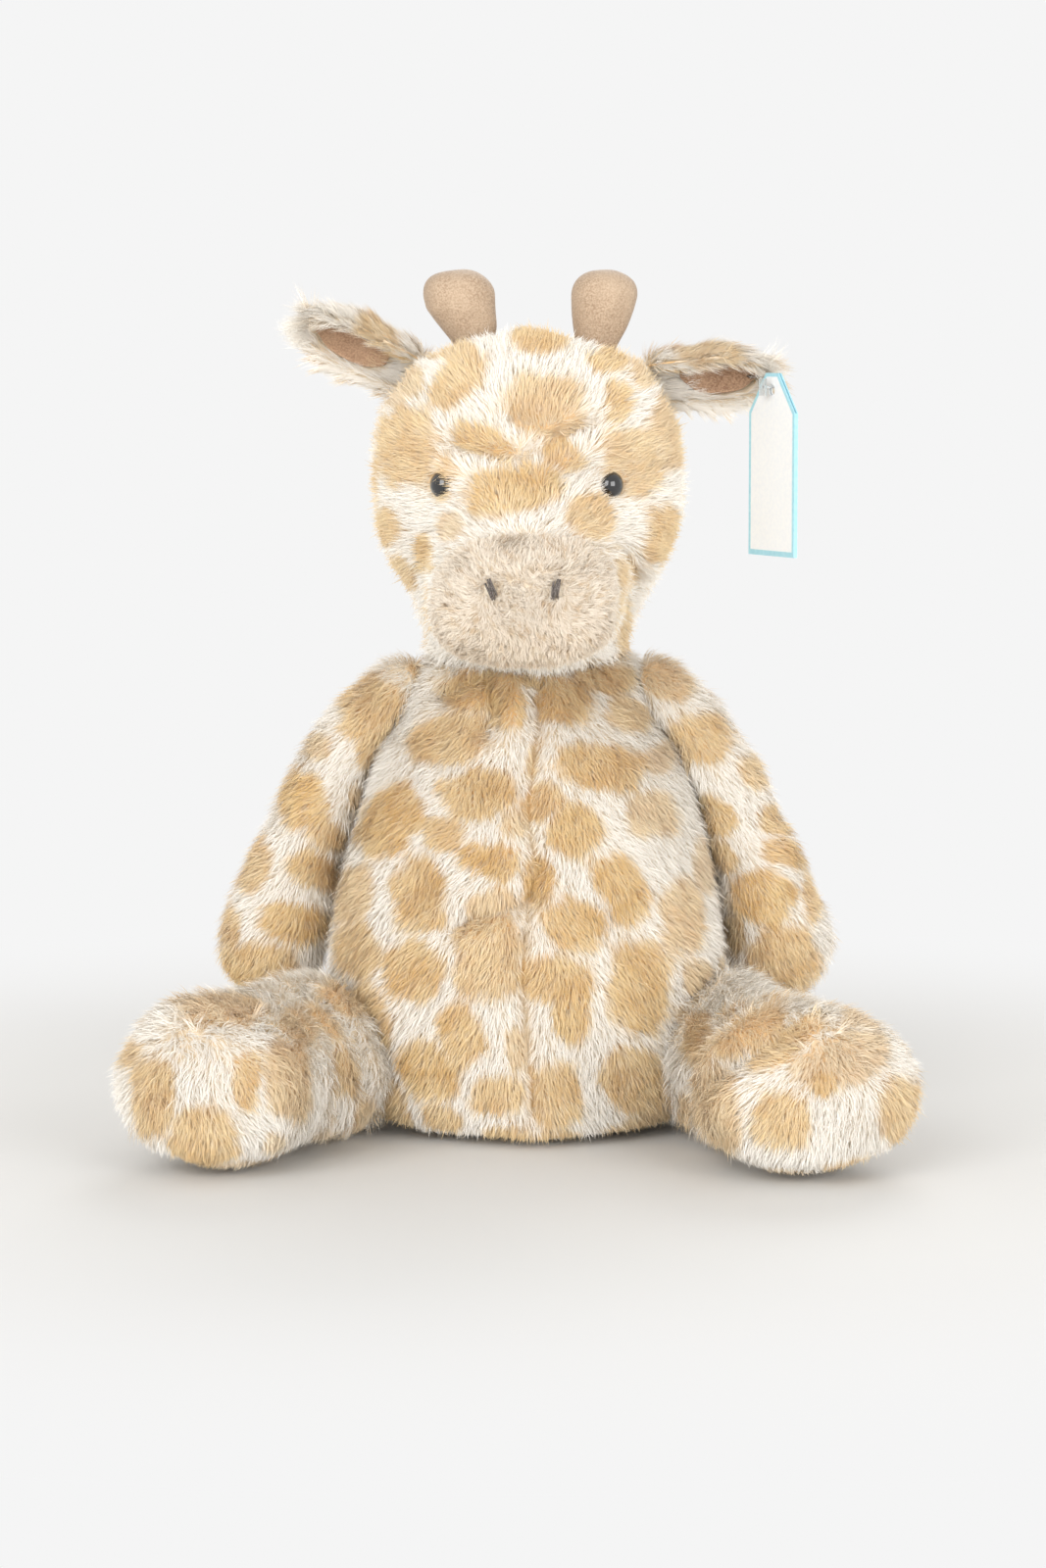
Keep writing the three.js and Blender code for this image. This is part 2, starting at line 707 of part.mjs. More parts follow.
function makeNeckThread(group) {
  const away = neck.radius + seamGap + neck.threadRadius;
  const height = neck.height + Math.sqrt(away ** 2 - neck.seamRadius ** 2);
  const ring = new THREE.TorusGeometry(neck.seamRadius, neck.threadRadius, 5, 28);
  addPiece(group, "neck_seam_thread", solidOf(ring, place(0, 0, height)), "creamThread");
}

// Limbs

// A stuffed limb along a curve: rounded ends, and widths and heights from a table of shares along its length.
function limbBody(curve, sizes, shares, caps, inset, steps, sides, reference) {
  const long = curve.getLength();
  const distances = [];
  const capSteps = inset > 0 ? 3 : 4;
  for (let k = 1; k <= capSteps; k++)
    distances.push(inset + (caps.start - inset) * (1 - Math.cos((Math.PI / 2) * (k / capSteps))));
  for (let k = 1; k < steps; k++) distances.push(caps.start + ((long - caps.start - caps.end) * k) / steps);
  for (let k = capSteps; k >= 1; k--)
    distances.push(long - inset - (caps.end - inset) * (1 - Math.cos((Math.PI / 2) * (k / capSteps))));
  const rings = distances.map((distance) => {
    const share = distance / long;
    const centre = curve.getPointAt(share);
    const along = curve.getTangentAt(share);
    const high = reference.clone().addScaledVector(along, -reference.dot(along)).normalize();
    const wide = new THREE.Vector3().crossVectors(high, along);
    const [width, height] = readShares(shares, share);
    const fromStart = Math.min((distance - inset) / (caps.start - inset), 1);
    const fromEnd = Math.min((long - inset - distance) / (caps.end - inset), 1);
    const round = Math.sqrt(1 - (1 - fromStart) ** 2) * Math.sqrt(1 - (1 - fromEnd) ** 2);
    const tall = (height * sizes.height - inset) * round;
    const size = { across: (width * sizes.width - inset) * round, front: tall, back: tall };
    return ovalRing(centre, wide, high, size, ellipse, sides);
  });
  return loft(rings, curve.getPointAt(inset / long), curve.getPointAt(1 - inset / long));
}

// Length from shoulder to hand, width and depth, as shares of the hand's radius.
const armShares = [
  [0.0, 0.6, 0.66],
  [0.25, arm.shoulderRadius / arm.handRadius, 0.76],
  [0.6, arm.forearmRadius / arm.handRadius, 0.86],
  [0.85, 0.97, 1.0],
  [1.0, 1.0, 1.0],
];
// Places of the arm's middle line, as shares of the way out from the shoulder to the hand and down to it.
const armPathShares = [
  [0.0, -0.05],
  [0.2, 0.0],
  [0.4, 0.1],
  [0.58, 0.28],
  [0.73, 0.508],
  [0.88, 0.748],
];
function armCurve(side, size) {
  const out = size.handOut - shoulder.out;
  const top = neck.height + shoulder.aboveNeck;
  const down = top - arm.handHeight;
  const places = armPathShares.map(([outShare, downShare]) =>
    point(side * (shoulder.out + out * outShare), arm.handBack * downShare, top - down * downShare),
  );
  const hand = point(side * size.handOut, arm.handBack, arm.handHeight);
  const before = places[places.length - 1];
  const end = hand.clone().add(hand.clone().sub(before).setLength(arm.handCap));
  return new THREE.CatmullRomCurve3([...places, hand, end]);
}

function makeArm(group, name, side, size) {
  const curve = armCurve(side, size);
  const sizes = { width: arm.handRadius, height: arm.handRadius };
  const caps = { start: arm.shoulderRadius, end: arm.handCap };
  const body = (inset, steps, sides) =>
    limbBody(curve, sizes, armShares, caps, inset, steps, sides, backwards);
  const room = torsoRoom.add(neckRoom);
  const cover = body(0, 6, 16).subtract(body(plushThickness, 3, 10)).subtract(room);
  addPiece(group, `arm_cover_${name}`, largest(cover), "plush");
  const stuffing = body(plushThickness + seamGap, 3, 10).subtract(room);
  addPiece(group, `arm_stuffing_${name}`, largest(stuffing), "stuffing");
}

// The largest of a solid's separate bodies.
function largest(solid) {
  return solid.decompose().reduce((best, body) => (body.volume() > best.volume() ? body : best));
}

// Length from hip to toe, width and height, as shares of the foot's half width and half height.
const legShares = (size) => [
  [0.0, leg.hipWidth / size.footWidth, leg.hipHeight / size.footHeight],
  [0.3, (leg.hipWidth / size.footWidth) * 1.02, leg.hipHeight / size.footHeight],
  [0.5, (leg.hipWidth / size.footWidth) * 1.02, 0.9],
  [0.7, 0.93, 0.97],
  [0.85, 1.0, 1.0],
  [1.0, 1.0, 1.0],
];

function legCurve(side, size) {
  const splay = THREE.MathUtils.degToRad(size.splay);
  const ahead = point(side * Math.sin(splay), -Math.cos(splay), 0);
  const hip = point(side * size.hipOut, -size.hipForward, leg.hipHeight - leg.floorDip);
  const foot = hip.clone().addScaledVector(ahead, size.length).setZ(size.footHeight - leg.floorDip);
  const end = foot.clone().addScaledVector(ahead, leg.footCap);
  const start = hip.clone().addScaledVector(ahead, -leg.hipCap);
  const middle = hip.clone().lerp(foot, 0.5).setZ((leg.hipHeight + size.footHeight) / 2 - leg.floorDip);
  return new THREE.CatmullRomCurve3([start, hip, middle, foot, end]);
}

function makeLeg(group, name, side, size) {
  const curve = legCurve(side, size);
  const sizes = { width: size.footWidth, height: size.footHeight };
  const caps = { start: leg.hipCap, end: leg.footCap };
  const shares = legShares(size);
  const body = (inset, steps, sides) => limbBody(curve, sizes, shares, caps, inset, steps, sides, upright);
  const reach = size.length + leg.footCap + overrun;
  const floor = block(2 * reach, 2 * reach, overrun, side * size.hipOut, -size.hipForward, -overrun / 2);
  const cover = body(0, 5, 20).subtract(body(plushThickness, 2, 12)).subtract(torsoRoom).subtract(floor);
  addPiece(group, `leg_cover_${name}`, largest(cover), "plush");
  const stuffing = body(plushThickness + seamGap, 2, 12).subtract(torsoRoom);
  addPiece(group, `leg_stuffing_${name}`, largest(stuffing), "stuffing");
}

// Tail

// Length from root to end and the radius, as shares of the tail's radius and the tuft's.
const tailShares = [
  [0.0, 1.0, 1.0],
  [0.6, 0.9, 0.9],
  [1.0, 0.85, 0.85],
];
const tuftShares = [
  [0.0, 0.62, 0.62],
  [0.45, 1.0, 1.0],
  [1.0, 0.45, 0.45],
];

function makeTail(group) {
  const root = point(0, tail.pivotBack - tail.radius, tail.pivotHeight);
  const pivot = point(0, tail.pivotBack, tail.pivotHeight);
  const end = pivot.clone().add(point(0, tail.reach, -tail.drop));
  const middle = pivot.clone().add(point(0, tail.reach * tail.bendOutShare, -tail.drop * tail.bendDownShare));
  const curve = new THREE.CatmullRomCurve3([root, pivot, middle, end]);
  const caps = { start: tail.radius, end: tail.radius * tail.endCapShare };
  const sizes = { width: tail.radius, height: tail.radius };
  const cord = limbBody(curve, sizes, tailShares, caps, 0, 3, 12, upright);
  const along = curve.getTangentAt(1);
  const tuftStart = end.clone().addScaledVector(along, -tail.radius * tail.tuftLapShare);
  const tuftTip = tuftStart.clone().addScaledVector(along, tail.tuftLength);
  const tuftEnd = tuftTip.setZ(tail.tuftRadius * tail.tuftLowShare);
  const tuftCurve = new THREE.CatmullRomCurve3([tuftStart, tuftStart.clone().lerp(tuftEnd, 0.5), tuftEnd]);
  const tuftSizes = { width: tail.tuftRadius, height: tail.tuftRadius };
  const tuftCaps = { start: tail.tuftRadius * tail.tuftCapShare, end: tail.tuftRadius * tail.tuftTipShare };
  const tuft = limbBody(tuftCurve, tuftSizes, tuftShares, tuftCaps, 0, 3, 12, upright);
  const beyond = end.clone().addScaledVector(along, seamGap);
  const roomSizes = { width: tail.radius + seamGap, height: tail.radius + seamGap };
  const roomCurve = new THREE.CatmullRomCurve3([root, pivot, middle, beyond]);
  const cordRoom = limbBody(roomCurve, roomSizes, tailShares, caps, 0, 3, 12, upright);
  addPiece(group, "tail_cover", cord, "plush");
  addPiece(group, "tail_tuft", largest(tuft.subtract(cordRoom)), "tanPlush");
}

// Tag

// A frame where the tag hangs on its filament: +X across the card, +Y up it and +Z out of its front face. The
// filament goes through the toy's left ear.
function tagFrame() {
  const turn = THREE.MathUtils.degToRad(tag.turn);
  const across = point(Math.cos(turn), -Math.sin(turn), 0);
  const face = new THREE.Vector3().crossVectors(across, upright);
  const hole = earRoot(1, ears.left).add(point(tag.beyondEarRoot, -tag.forward, -tag.belowEarRoot));
  return new THREE.Matrix4().makeBasis(across, upright, face).setPosition(hole);
}

function makeTag(group) {
  const top = tag.holeBelowTop - tag.hangsBelow;
  const bottom = top - tag.length;
  const shoulderHeight = top - tag.shoulder;
  const outline = new THREE.Shape(
    [
      [-tag.width / 2, bottom],
      [tag.width / 2, bottom],
      [tag.width / 2, shoulderHeight],
      [tag.topWidth / 2, top],
      [-tag.topWidth / 2, top],
      [-tag.width / 2, shoulderHeight],
    ].map(([x, y]) => new THREE.Vector2(x, y)),
  );
  outline.holes.push(new THREE.Path().absarc(0, -tag.hangsBelow, tag.holeRadius, 0, 2 * Math.PI, true));
  const frame = tagFrame();
  const leaf = (depth) =>
    solidOf(
      new THREE.ExtrudeGeometry(outline, { depth: tag.leaf, bevelEnabled: false, curveSegments: 8 }),
      frame.clone().multiply(place(0, 0, depth)),
    );
  const tall = shoulderHeight - bottom;
  const spine = new THREE.BoxGeometry(tag.leaf, tall, tag.fold + 2 * tag.leaf);
  const spinePlace = place((tag.width - tag.leaf) / 2, (shoulderHeight + bottom) / 2, 0);
  const card = leaf(tag.fold / 2)
    .add(leaf(-tag.fold / 2 - tag.leaf))
    .add(solidOf(spine, frame.clone().multiply(spinePlace)));
  addPiece(group, "hang_tag", card, "card");
}

// The clear fastener: a bar behind the ear, a filament through the ear's tip and the tag's hole, and a
// paddle at its front end.
function fastenerBody(grow) {
  const step = fastener.rise;
  const frame = tagFrame();
  const face = new THREE.Vector3().setFromMatrixColumn(frame, 2);
  const hole = new THREE.Vector3().setFromMatrixPosition(frame);
  const paddle = hole.clone().addScaledVector(face, fastener.beyondHole);
  const behindCard = hole.clone().addScaledVector(face, -fastener.beyondHole).add(point(0, step, step));
  const outOfEar = point(hole.x - step, -ear.radius * fastener.frontShare, hole.z + 2 * step);
  const bar = point(outOfEar.x - fastener.barLength, ear.radius * fastener.behindShare, outOfEar.z);
  const route = new THREE.CatmullRomCurve3([bar, outOfEar, behindCard, hole, paddle]);
  const section = new THREE.Shape().absarc(0, 0, fastener.radius + grow, 0, 2 * Math.PI);
  const filament = new THREE.ExtrudeGeometry(section, { steps: 16, extrudePath: route, curveSegments: 3 });
  const barRadius = fastener.barRadius + grow;
  const barBody = new THREE.CylinderGeometry(barRadius, barRadius, fastener.barLength + 2 * grow, 8);
  const plate = new THREE.BoxGeometry(
    fastener.paddleWidth + 2 * grow,
    fastener.paddleLength + 2 * grow,
    fastener.paddleThickness + 2 * grow,
  );
  return solidOf(filament)
    .add(solidOf(barBody, place(bar.x, bar.y, bar.z)))
    .add(solidOf(plate, frame.clone().setPosition(paddle)));
}

// The toy

const giraffe = new THREE.Group();
const headGroup = new THREE.Group();
headGroup.rotation.z = THREE.MathUtils.degToRad(head.turn);
giraffe.add(headGroup);

makeTorso(giraffe);
makeArm(giraffe, "left", 1, arms.left);
makeArm(giraffe, "right", -1, arms.right);
makeLeg(giraffe, "left", 1, legs.left);
makeLeg(giraffe, "right", -1, legs.right);
makeTail(giraffe);

makeNeckThread(headGroup);
makeHead(headGroup);
makeNostril(headGroup, "left", 1);
makeNostril(headGroup, "right", -1);
makeHorn(headGroup, "left", horns.left);
makeHorn(headGroup, "right", horns.right);
makeEar(headGroup, "left", 1, ears.left, fastenerBody(seamGap));
makeEar(headGroup, "right", -1, ears.right, null);
makeTag(headGroup);
addPiece(headGroup, "tag_fastener", fastenerBody(0), "clearPlastic");

export default giraffe;
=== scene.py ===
import math

import bmesh
import bpy
import numpy as np
from mathutils import Matrix, Vector
from mathutils.bvhtree import BVHTree
from mathutils.kdtree import KDTree


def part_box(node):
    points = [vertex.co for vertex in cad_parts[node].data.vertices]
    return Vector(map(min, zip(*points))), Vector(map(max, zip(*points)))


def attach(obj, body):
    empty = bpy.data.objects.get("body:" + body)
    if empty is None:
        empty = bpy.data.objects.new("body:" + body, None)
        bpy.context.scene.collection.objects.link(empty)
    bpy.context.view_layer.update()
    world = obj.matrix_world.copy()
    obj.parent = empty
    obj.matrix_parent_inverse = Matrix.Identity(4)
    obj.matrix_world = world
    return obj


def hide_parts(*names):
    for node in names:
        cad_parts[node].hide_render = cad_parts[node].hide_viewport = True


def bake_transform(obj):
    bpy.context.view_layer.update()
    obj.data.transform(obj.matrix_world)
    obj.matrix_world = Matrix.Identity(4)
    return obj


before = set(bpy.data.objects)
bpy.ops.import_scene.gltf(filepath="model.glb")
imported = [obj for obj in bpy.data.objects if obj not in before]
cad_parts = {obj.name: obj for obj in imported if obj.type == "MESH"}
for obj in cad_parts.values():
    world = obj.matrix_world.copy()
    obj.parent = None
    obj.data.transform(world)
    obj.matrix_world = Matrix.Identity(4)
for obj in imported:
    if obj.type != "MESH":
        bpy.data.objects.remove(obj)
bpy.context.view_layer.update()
bpy.ops.object.select_all(action="DESELECT")

MM = 0.001
LEFT, RIGHT = 1, -1
SIDES = (("left", LEFT), ("right", RIGHT))
HEAD_TURN = math.radians(-1)
LEG_SPLAY = {"left": math.radians(19), "right": math.radians(28)}

# ---- camera -------------------------------------------------------------------------------------------------

PICTURE = (1067, 1600)
CAMERA_PLACE = (-0.0019, -1.5430, 0.2950)
CAMERA_PITCH = math.radians(6.2977)
FOCAL_PIXELS = 4352.4
SENSOR = 36.0


def place_camera():
    bpy.ops.object.camera_add(location=CAMERA_PLACE, rotation=(math.pi / 2 - CAMERA_PITCH, 0, 0))
    camera = bpy.context.object
    camera.name = "studio_camera"
    camera.data.lens = FOCAL_PIXELS * SENSOR / PICTURE[1]
    camera.data.clip_start = 0.05
    bpy.context.scene.camera = camera


def picture_places(points):
    """Where points fall in the picture, in pixels from its top left corner."""
    offset = points - np.array(CAMERA_PLACE)
    cos, sin = math.cos(CAMERA_PITCH), math.sin(CAMERA_PITCH)
    ahead = offset[:, 1] * cos - offset[:, 2] * sin
    up = offset[:, 1] * sin + offset[:, 2] * cos
    across = PICTURE[0] / 2 + FOCAL_PIXELS * offset[:, 0] / ahead
    down = PICTURE[1] / 2 - FOCAL_PIXELS * up / ahead
    return np.column_stack([across, down])


def view_line(across, down):
    """The direction from the camera through a pixel."""
    cos, sin = math.cos(CAMERA_PITCH), math.sin(CAMERA_PITCH)
    x = (across - PICTURE[0] / 2) / FOCAL_PIXELS
    up = (PICTURE[1] / 2 - down) / FOCAL_PIXELS
    return Vector((x, cos + up * sin, up * cos - sin)).normalized()


# ---- small helpers ------------------------------------------------------------------------------------------


def select_only(obj):
    bpy.ops.object.select_all(action="DESELECT")
    obj.select_set(True)
    bpy.context.view_layer.objects.active = obj


def vertex_places(obj):
    flat = np.empty(len(obj.data.vertices) * 3, np.float32)
    obj.data.vertices.foreach_get("co", flat)
    return flat.reshape(-1, 3).astype(float)


def vertex_normals(obj):
    flat = np.empty(len(obj.data.vertices) * 3, np.float32)
    obj.data.vertex_normals.foreach_get("vector", flat)
    return flat.reshape(-1, 3).astype(float)


def set_places(obj, places):
    obj.data.vertices.foreach_set("co", places.astype(np.float32).ravel())
    obj.data.update()


def smooth_faces(obj):
    obj.data.polygons.foreach_set("use_smooth", [True] * len(obj.data.polygons))
    obj.data.update()


def dress(data, finish):
    data.materials.clear()
    data.materials.append(finish)


def smooth_step(low, high, values):
    share = np.clip((values - low) / (high - low), 0, 1)
    return share * share * (3 - 2 * share)


def unit(vectors):
    return vectors / np.maximum(np.linalg.norm(vectors, axis=-1, keepdims=True), 1e-12)


def waves(points, length, seed, count=7):
    """Smooth noise from about -1 to 1, from waves of one length in random directions."""
    rng = np.random.default_rng(seed)
    directions = unit(rng.normal(size=(count, 3)))
    stretch = rng.uniform(0.7, 1.5, count)
    phases = rng.uniform(0, 2 * math.pi, count)
    turns = points @ directions.T * (2 * math.pi / length * stretch) + phases
    return np.sin(turns).sum(axis=1) / math.sqrt(count * 1.6)


def turned_about_z(x, y, z, angle):
    return Vector((x * math.cos(angle) - y * math.sin(angle), x * math.sin(angle) + y * math.cos(angle), z))


def surface_tree(obj):
    graph = bpy.context.evaluated_depsgraph_get()
    return BVHTree.FromObject(obj, graph)


def front_points(tree, pixels):
    """The places on a body's front that a list of pixels shows."""
    found = []
    for across, down in pixels:
        place = tree.ray_cast(Vector(CAMERA_PLACE), view_line(across, down))[0]
        if place is not None:
            found.append(place)
    return found


# ---- stuffed bodies -----------------------------------------------------------------------------------------


def joined_copy(name, nodes):
    """One new object from copies of CAD nodes' meshes, with their doubles merged."""
    parts = []
    for node in nodes:
        part = bpy.data.objects.new(name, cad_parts[node].data.copy())
        bpy.context.scene.collection.objects.link(part)
        part.data.materials.clear()
        parts.append(part)
    bpy.ops.object.select_all(action="DESELECT")
    for part in parts:
        part.select_set(True)
    bpy.context.view_layer.objects.active = parts[0]
    if len(parts) > 1:
        bpy.ops.object.join()
    obj = bpy.context.view_layer.objects.active
    obj.name = obj.data.name = name
    bpy.ops.object.mode_set(mode="EDIT")
    bpy.ops.mesh.select_all(action="SELECT")
    bpy.ops.mesh.remove_doubles(threshold=1e-6)
    bpy.ops.object.mode_set(mode="OBJECT")
    return obj


def keep_largest(obj):
    """Deletes the small loose bits that a remesh leaves inside a body."""
    work = bmesh.new()
    work.from_mesh(obj.data)
    unseen = set(work.verts)
    groups = []
    while unseen:
        start = unseen.pop()
        group, edge = [start], [start]
        while edge:
            vertex = edge.pop()
            for link in vertex.link_edges:
                other = link.other_vert(vertex)
                if other in unseen:
                    unseen.remove(other)
                    group.append(other)
                    edge.append(other)
        groups.append(group)
    groups.sort(key=len)
    for group in groups[:-1]:
        bmesh.ops.delete(work, geom=group, context="VERTS")
    work.to_mesh(obj.data)
    work.free()


def smooth_skin(obj, times, factor=0.5):
    select_only(obj)
    bpy.ops.object.mode_set(mode="EDIT")
    bpy.ops.mesh.select_all(action="SELECT")
    bpy.ops.mesh.vertices_smooth(factor=factor, repeat=times)
    bpy.ops.object.mode_set(mode="OBJECT")


CLOTH_STEPS, PRESSURE = 20, 4


def swell(obj, most):
    """Cloth pressure from inside, with no point moving further than the cap."""
    before = vertex_places(obj)
    select_only(obj)
    cloth = obj.modifiers.new("stuffing_pressure", "CLOTH")
    cloth.settings.use_pressure = True
    cloth.settings.uniform_pressure_force = PRESSURE
    cloth.settings.effector_weights.gravity = 0
    cloth.settings.quality = 5
    cloth.point_cache.frame_start = 1
    cloth.point_cache.frame_end = CLOTH_STEPS
    for step in range(1, CLOTH_STEPS + 1):
        bpy.context.scene.frame_set(step)
    bpy.ops.object.modifier_apply(modifier=cloth.name)
    bpy.context.scene.frame_set(1)
    moved = vertex_places(obj) - before
    far = np.linalg.norm(moved, axis=1, keepdims=True)
    set_places(obj, before + moved * np.minimum(1, most / np.maximum(far, 1e-9)))


def subdivided(obj, levels=1):
    select_only(obj)
    finer = obj.modifiers.new("finer", "SUBSURF")
    finer.levels = finer.render_levels = levels
    bpy.ops.object.modifier_apply(modifier=finer.name)


def stuffed_body(name, nodes, inset, most, voxel=4 * MM, floor=None):
    """A stuffed skin inside the CAD form: remeshed, drawn in under the pile, then swelled by its stuffing."""
    obj = joined_copy(name, nodes)
    obj.data.remesh_voxel_size = voxel
    bpy.ops.object.voxel_remesh()
    keep_largest(obj)
    set_places(obj, vertex_places(obj) - vertex_normals(obj) * inset)
    smooth_skin(obj, 3)
    swell(obj, most)
    subdivided(obj)
    if floor is not None:
        places = vertex_places(obj)
        places[:, 2] = np.maximum(places[:, 2], floor)
        set_places(obj, places)
    smooth_faces(obj)
    return obj


def distance_to_path(points, path):
    """The distance of each point from a path of straight pieces."""
    best = np.full(len(points), np.inf)
    for start, end in zip(path[:-1], path[1:]):
        a, b = np.array(start), np.array(end)
        along = b - a
        share = np.clip((points - a) @ along / (along @ along), 0, 1)
        best = np.minimum(best, np.linalg.norm(points - a - share[:, None] * along, axis=1))
    return best


def press(obj, tree, path, width, depth):
    """A sewn line or a fold: a narrow groove along a path in a stuffed skin, with the stuffing full on both sides.
    Gives the path along the groove's floor."""
    if len(path) < 2:
        return []
    places = vertex_places(obj)
    far = distance_to_path(places, path) / width
    groove = np.exp(-(far**1.3)) - 0.4 * np.exp(-(((far - 2.4) / 1.5) ** 2))
    set_places(obj, places - vertex_normals(obj) * (depth * groove)[:, None])
    return [point - tree.find_nearest(point)[1] * depth * 0.9 for point in path]


def bulge(obj, middle, reach, height):
    """A soft rise of a skin round a place, or a dip where the height is below zero."""
    places = vertex_places(obj)
    near = np.exp(-(np.linalg.norm(places - np.array(middle), axis=1) / reach) ** 2)
    set_places(obj, places + vertex_normals(obj) * (height * near)[:, None])


def rumple(obj, length, depth, seed):
    """Slow lumps of stuffing under a skin."""
    places = vertex_places(obj)
    set_places(obj, places + vertex_normals(obj) * (waves(places, length, seed) * depth)[:, None])


# ---- spots --------------------------------------------------------------------------------------------------

# Spots that the front shows, and in the torso's table a band of painted shade under the chin: middle, width and height
# in pixels of the picture, lean in degrees with the right end down, and strength.
TORSO_SPOTS_AND_CHIN_SHADE = (
    (461, 750, 79, 48, -10, 0.9), (490, 805, 70, 46, -15, 0.95), (403, 834, 78, 54, -55, 1),
    (457, 848, 41, 36, 0, 0.9), (502, 873, 54, 34, 20, 1), (548, 895, 34, 52, 0, 1), (502, 917, 50, 26, -20, 0.75),
    (431, 908, 52, 76, 0, 0.95), (366, 910, 36, 64, 15, 0.8), (368, 966, 46, 55, 0, 0.9), (425, 986, 57, 57, 0, 0.95),
    (381, 1035, 38, 78, -15, 0.9), (473, 1049, 48, 60, -20, 0.95), (439, 1086, 68, 50, 55, 1),
    (508, 1111, 52, 38, 0, 0.9), (565, 1111, 52, 64, 0, 0.9), (526, 1066, 18, 46, -10, 0.7),
    (646, 1097, 66, 68, -10, 0.9), (649, 1005, 60, 95, 0, 0.95), (583, 1028, 36, 62, 0, 1),
    (566, 993, 74, 44, 0, 0.95), (500, 973, 64, 84, 0, 0.85), (586, 939, 58, 54, 20, 0.95), (632, 903, 80, 42, 60, 1),
    (585, 843, 50, 52, 0, 1), (551, 815, 44, 34, -35, 0.9), (524, 836, 24, 28, 0, 0.7), (611, 779, 84, 44, 8, 0.95),
    (661, 827, 50, 46, 0, 0.7), (691, 932, 46, 76, 0, 0.75), (706, 992, 28, 36, 0, 0.75),
    (711, 1031, 50, 26, -10, 0.9), (713, 880, 22, 56, 0, 0.6), (735, 984, 14, 30, 0, 0.7),
    # The band at (515, 688) is painted shade under the chin, not a spot.
    (637, 727, 42, 34, 25, 0.8), (573, 713, 56, 42, 0, 0.95), (611, 690, 66, 28, 5, 0.9), (515, 688, 84, 20, 0, 0.95),
    (517, 716, 32, 50, 0, 1), (486, 702, 66, 42, 0, 1), (543, 773, 16, 42, 0, 0.8), (668, 770, 28, 34, 50, 0.6),
    (454, 1136, 40, 27, 15, 0.9), (516, 1155, 48, 24, 0, 0.9), (567, 1160, 52, 24, 0, 0.9),
    (648, 1149, 68, 36, -25, 0.8), (405, 1130, 30, 60, -20, 0.9), (425, 682, 16, 32, 0, 0.9),
)
HEAD_SPOTS = (
    (550, 350, 58, 32, 0, 0.9), (469, 394, 66, 38, -50, 0.85), (461, 362, 54, 18, 0, 0.8), (557, 419, 76, 60, 0, 0.8),
    (496, 453, 58, 26, 22, 0.95), (573, 468, 40, 30, 35, 0.9), (524, 503, 90, 46, -10, 0.95),
    (419, 457, 58, 76, 0, 0.85), (457, 490, 18, 44, 0, 0.8), (424, 395, 24, 34, 0, 0.7), (407, 407, 30, 24, 0, 0.6),
    (641, 473, 60, 66, 0, 0.8), (626, 412, 24, 44, 0, 0.9), (618, 371, 38, 28, 0, 0.9), (655, 383, 36, 32, 0, 0.7),
    (680, 440, 40, 80, 0, 0.75), (672, 546, 38, 58, 0, 0.85), (598, 531, 44, 46, -40, 0.85),
    (637, 580, 22, 32, 0, 0.8), (632, 640, 14, 70, 0, 0.8), (464, 539, 24, 28, 0, 0.6), (438, 565, 18, 40, 0, 0.9),
    (411, 583, 40, 34, 50, 0.8), (382, 505, 18, 70, 0, 0.9), (399, 537, 26, 38, 0, 0.85), (530, 336, 30, 12, 0, 0.8),
    (573, 334, 20, 10, 0, 0.8),
)
ARM_SPOTS = {
    "right": (
        (428, 671, 22, 34, 0, 0.9), (382, 722, 62, 64, 0, 0.9), (384, 768, 30, 50, -15, 0.9),
        (328, 758, 28, 26, 0, 0.7), (312, 812, 48, 62, -15, 1), (335, 848, 44, 26, 35, 0.9),
        (364, 812, 15, 24, 0, 0.7), (264, 878, 34, 58, 10, 0.85), (323, 884, 58, 34, 30, 0.95),
        (302, 936, 70, 38, 10, 1), (237, 943, 24, 48, 0, 0.85), (264, 985, 82, 54, 0, 0.95),
    ),
    "left": (
        (678, 693, 48, 38, 30, 0.75), (709, 752, 58, 50, 0, 0.9), (695, 786, 18, 28, 0, 0.9),
        (764, 785, 40, 24, 50, 0.8), (727, 829, 48, 34, 40, 0.95), (790, 833, 34, 32, 0, 0.9),
        (796, 868, 46, 26, 20, 0.9), (737, 867, 34, 20, 55, 0.9), (777, 913, 60, 52, 15, 1),
        (823, 911, 18, 52, 0, 0.85), (748, 948, 24, 40, 0, 0.85), (798, 974, 66, 66, 0, 0.9),
        (852, 980, 12, 32, 0, 0.7), (833, 1014, 28, 16, 0, 0.7),
    ),
}
LEG_SPOTS = {
    "right": (
        (228, 1032, 80, 28, 0, 0.7), (136, 1071, 30, 26, -40, 0.8), (159, 1115, 38, 78, 0, 0.9),
        (207, 1158, 62, 68, 0, 0.9), (249, 1100, 24, 58, 0, 0.9), (291, 1100, 46, 74, -10, 0.75),
        (303, 1048, 40, 26, 35, 0.7), (330, 1044, 46, 18, 46, 0.8), (352, 1090, 54, 18, 72, 0.85),
        (374, 1141, 24, 54, 0, 0.7), (352, 1020, 44, 22, 35, 0.8), (340, 1160, 40, 26, 0, 0.5),
        (280, 1160, 26, 22, -30, 0.6), (148, 1180, 26, 26, 0, 0.8), (262, 1190, 100, 14, 0, 0.6),
    ),
    "left": (
        (714, 1058, 30, 48, 0, 0.85), (764, 1052, 76, 32, -28, 0.85), (803, 1064, 78, 30, -35, 0.9),
        (858, 1078, 84, 48, -20, 0.65), (841, 1103, 26, 28, 0, 0.95), (733, 1128, 50, 90, 0, 0.75),
        (800, 1138, 52, 56, 0, 0.9), (918, 1131, 46, 66, -10, 0.85), (885, 1190, 84, 32, -8, 0.85),
        (785, 1199, 90, 18, 0, 0.6), (733, 1170, 26, 36, 0, 0.8), (698, 1138, 14, 60, 0, 0.8),
        (872, 1040, 40, 20, 15, 0.6),
    ),
}
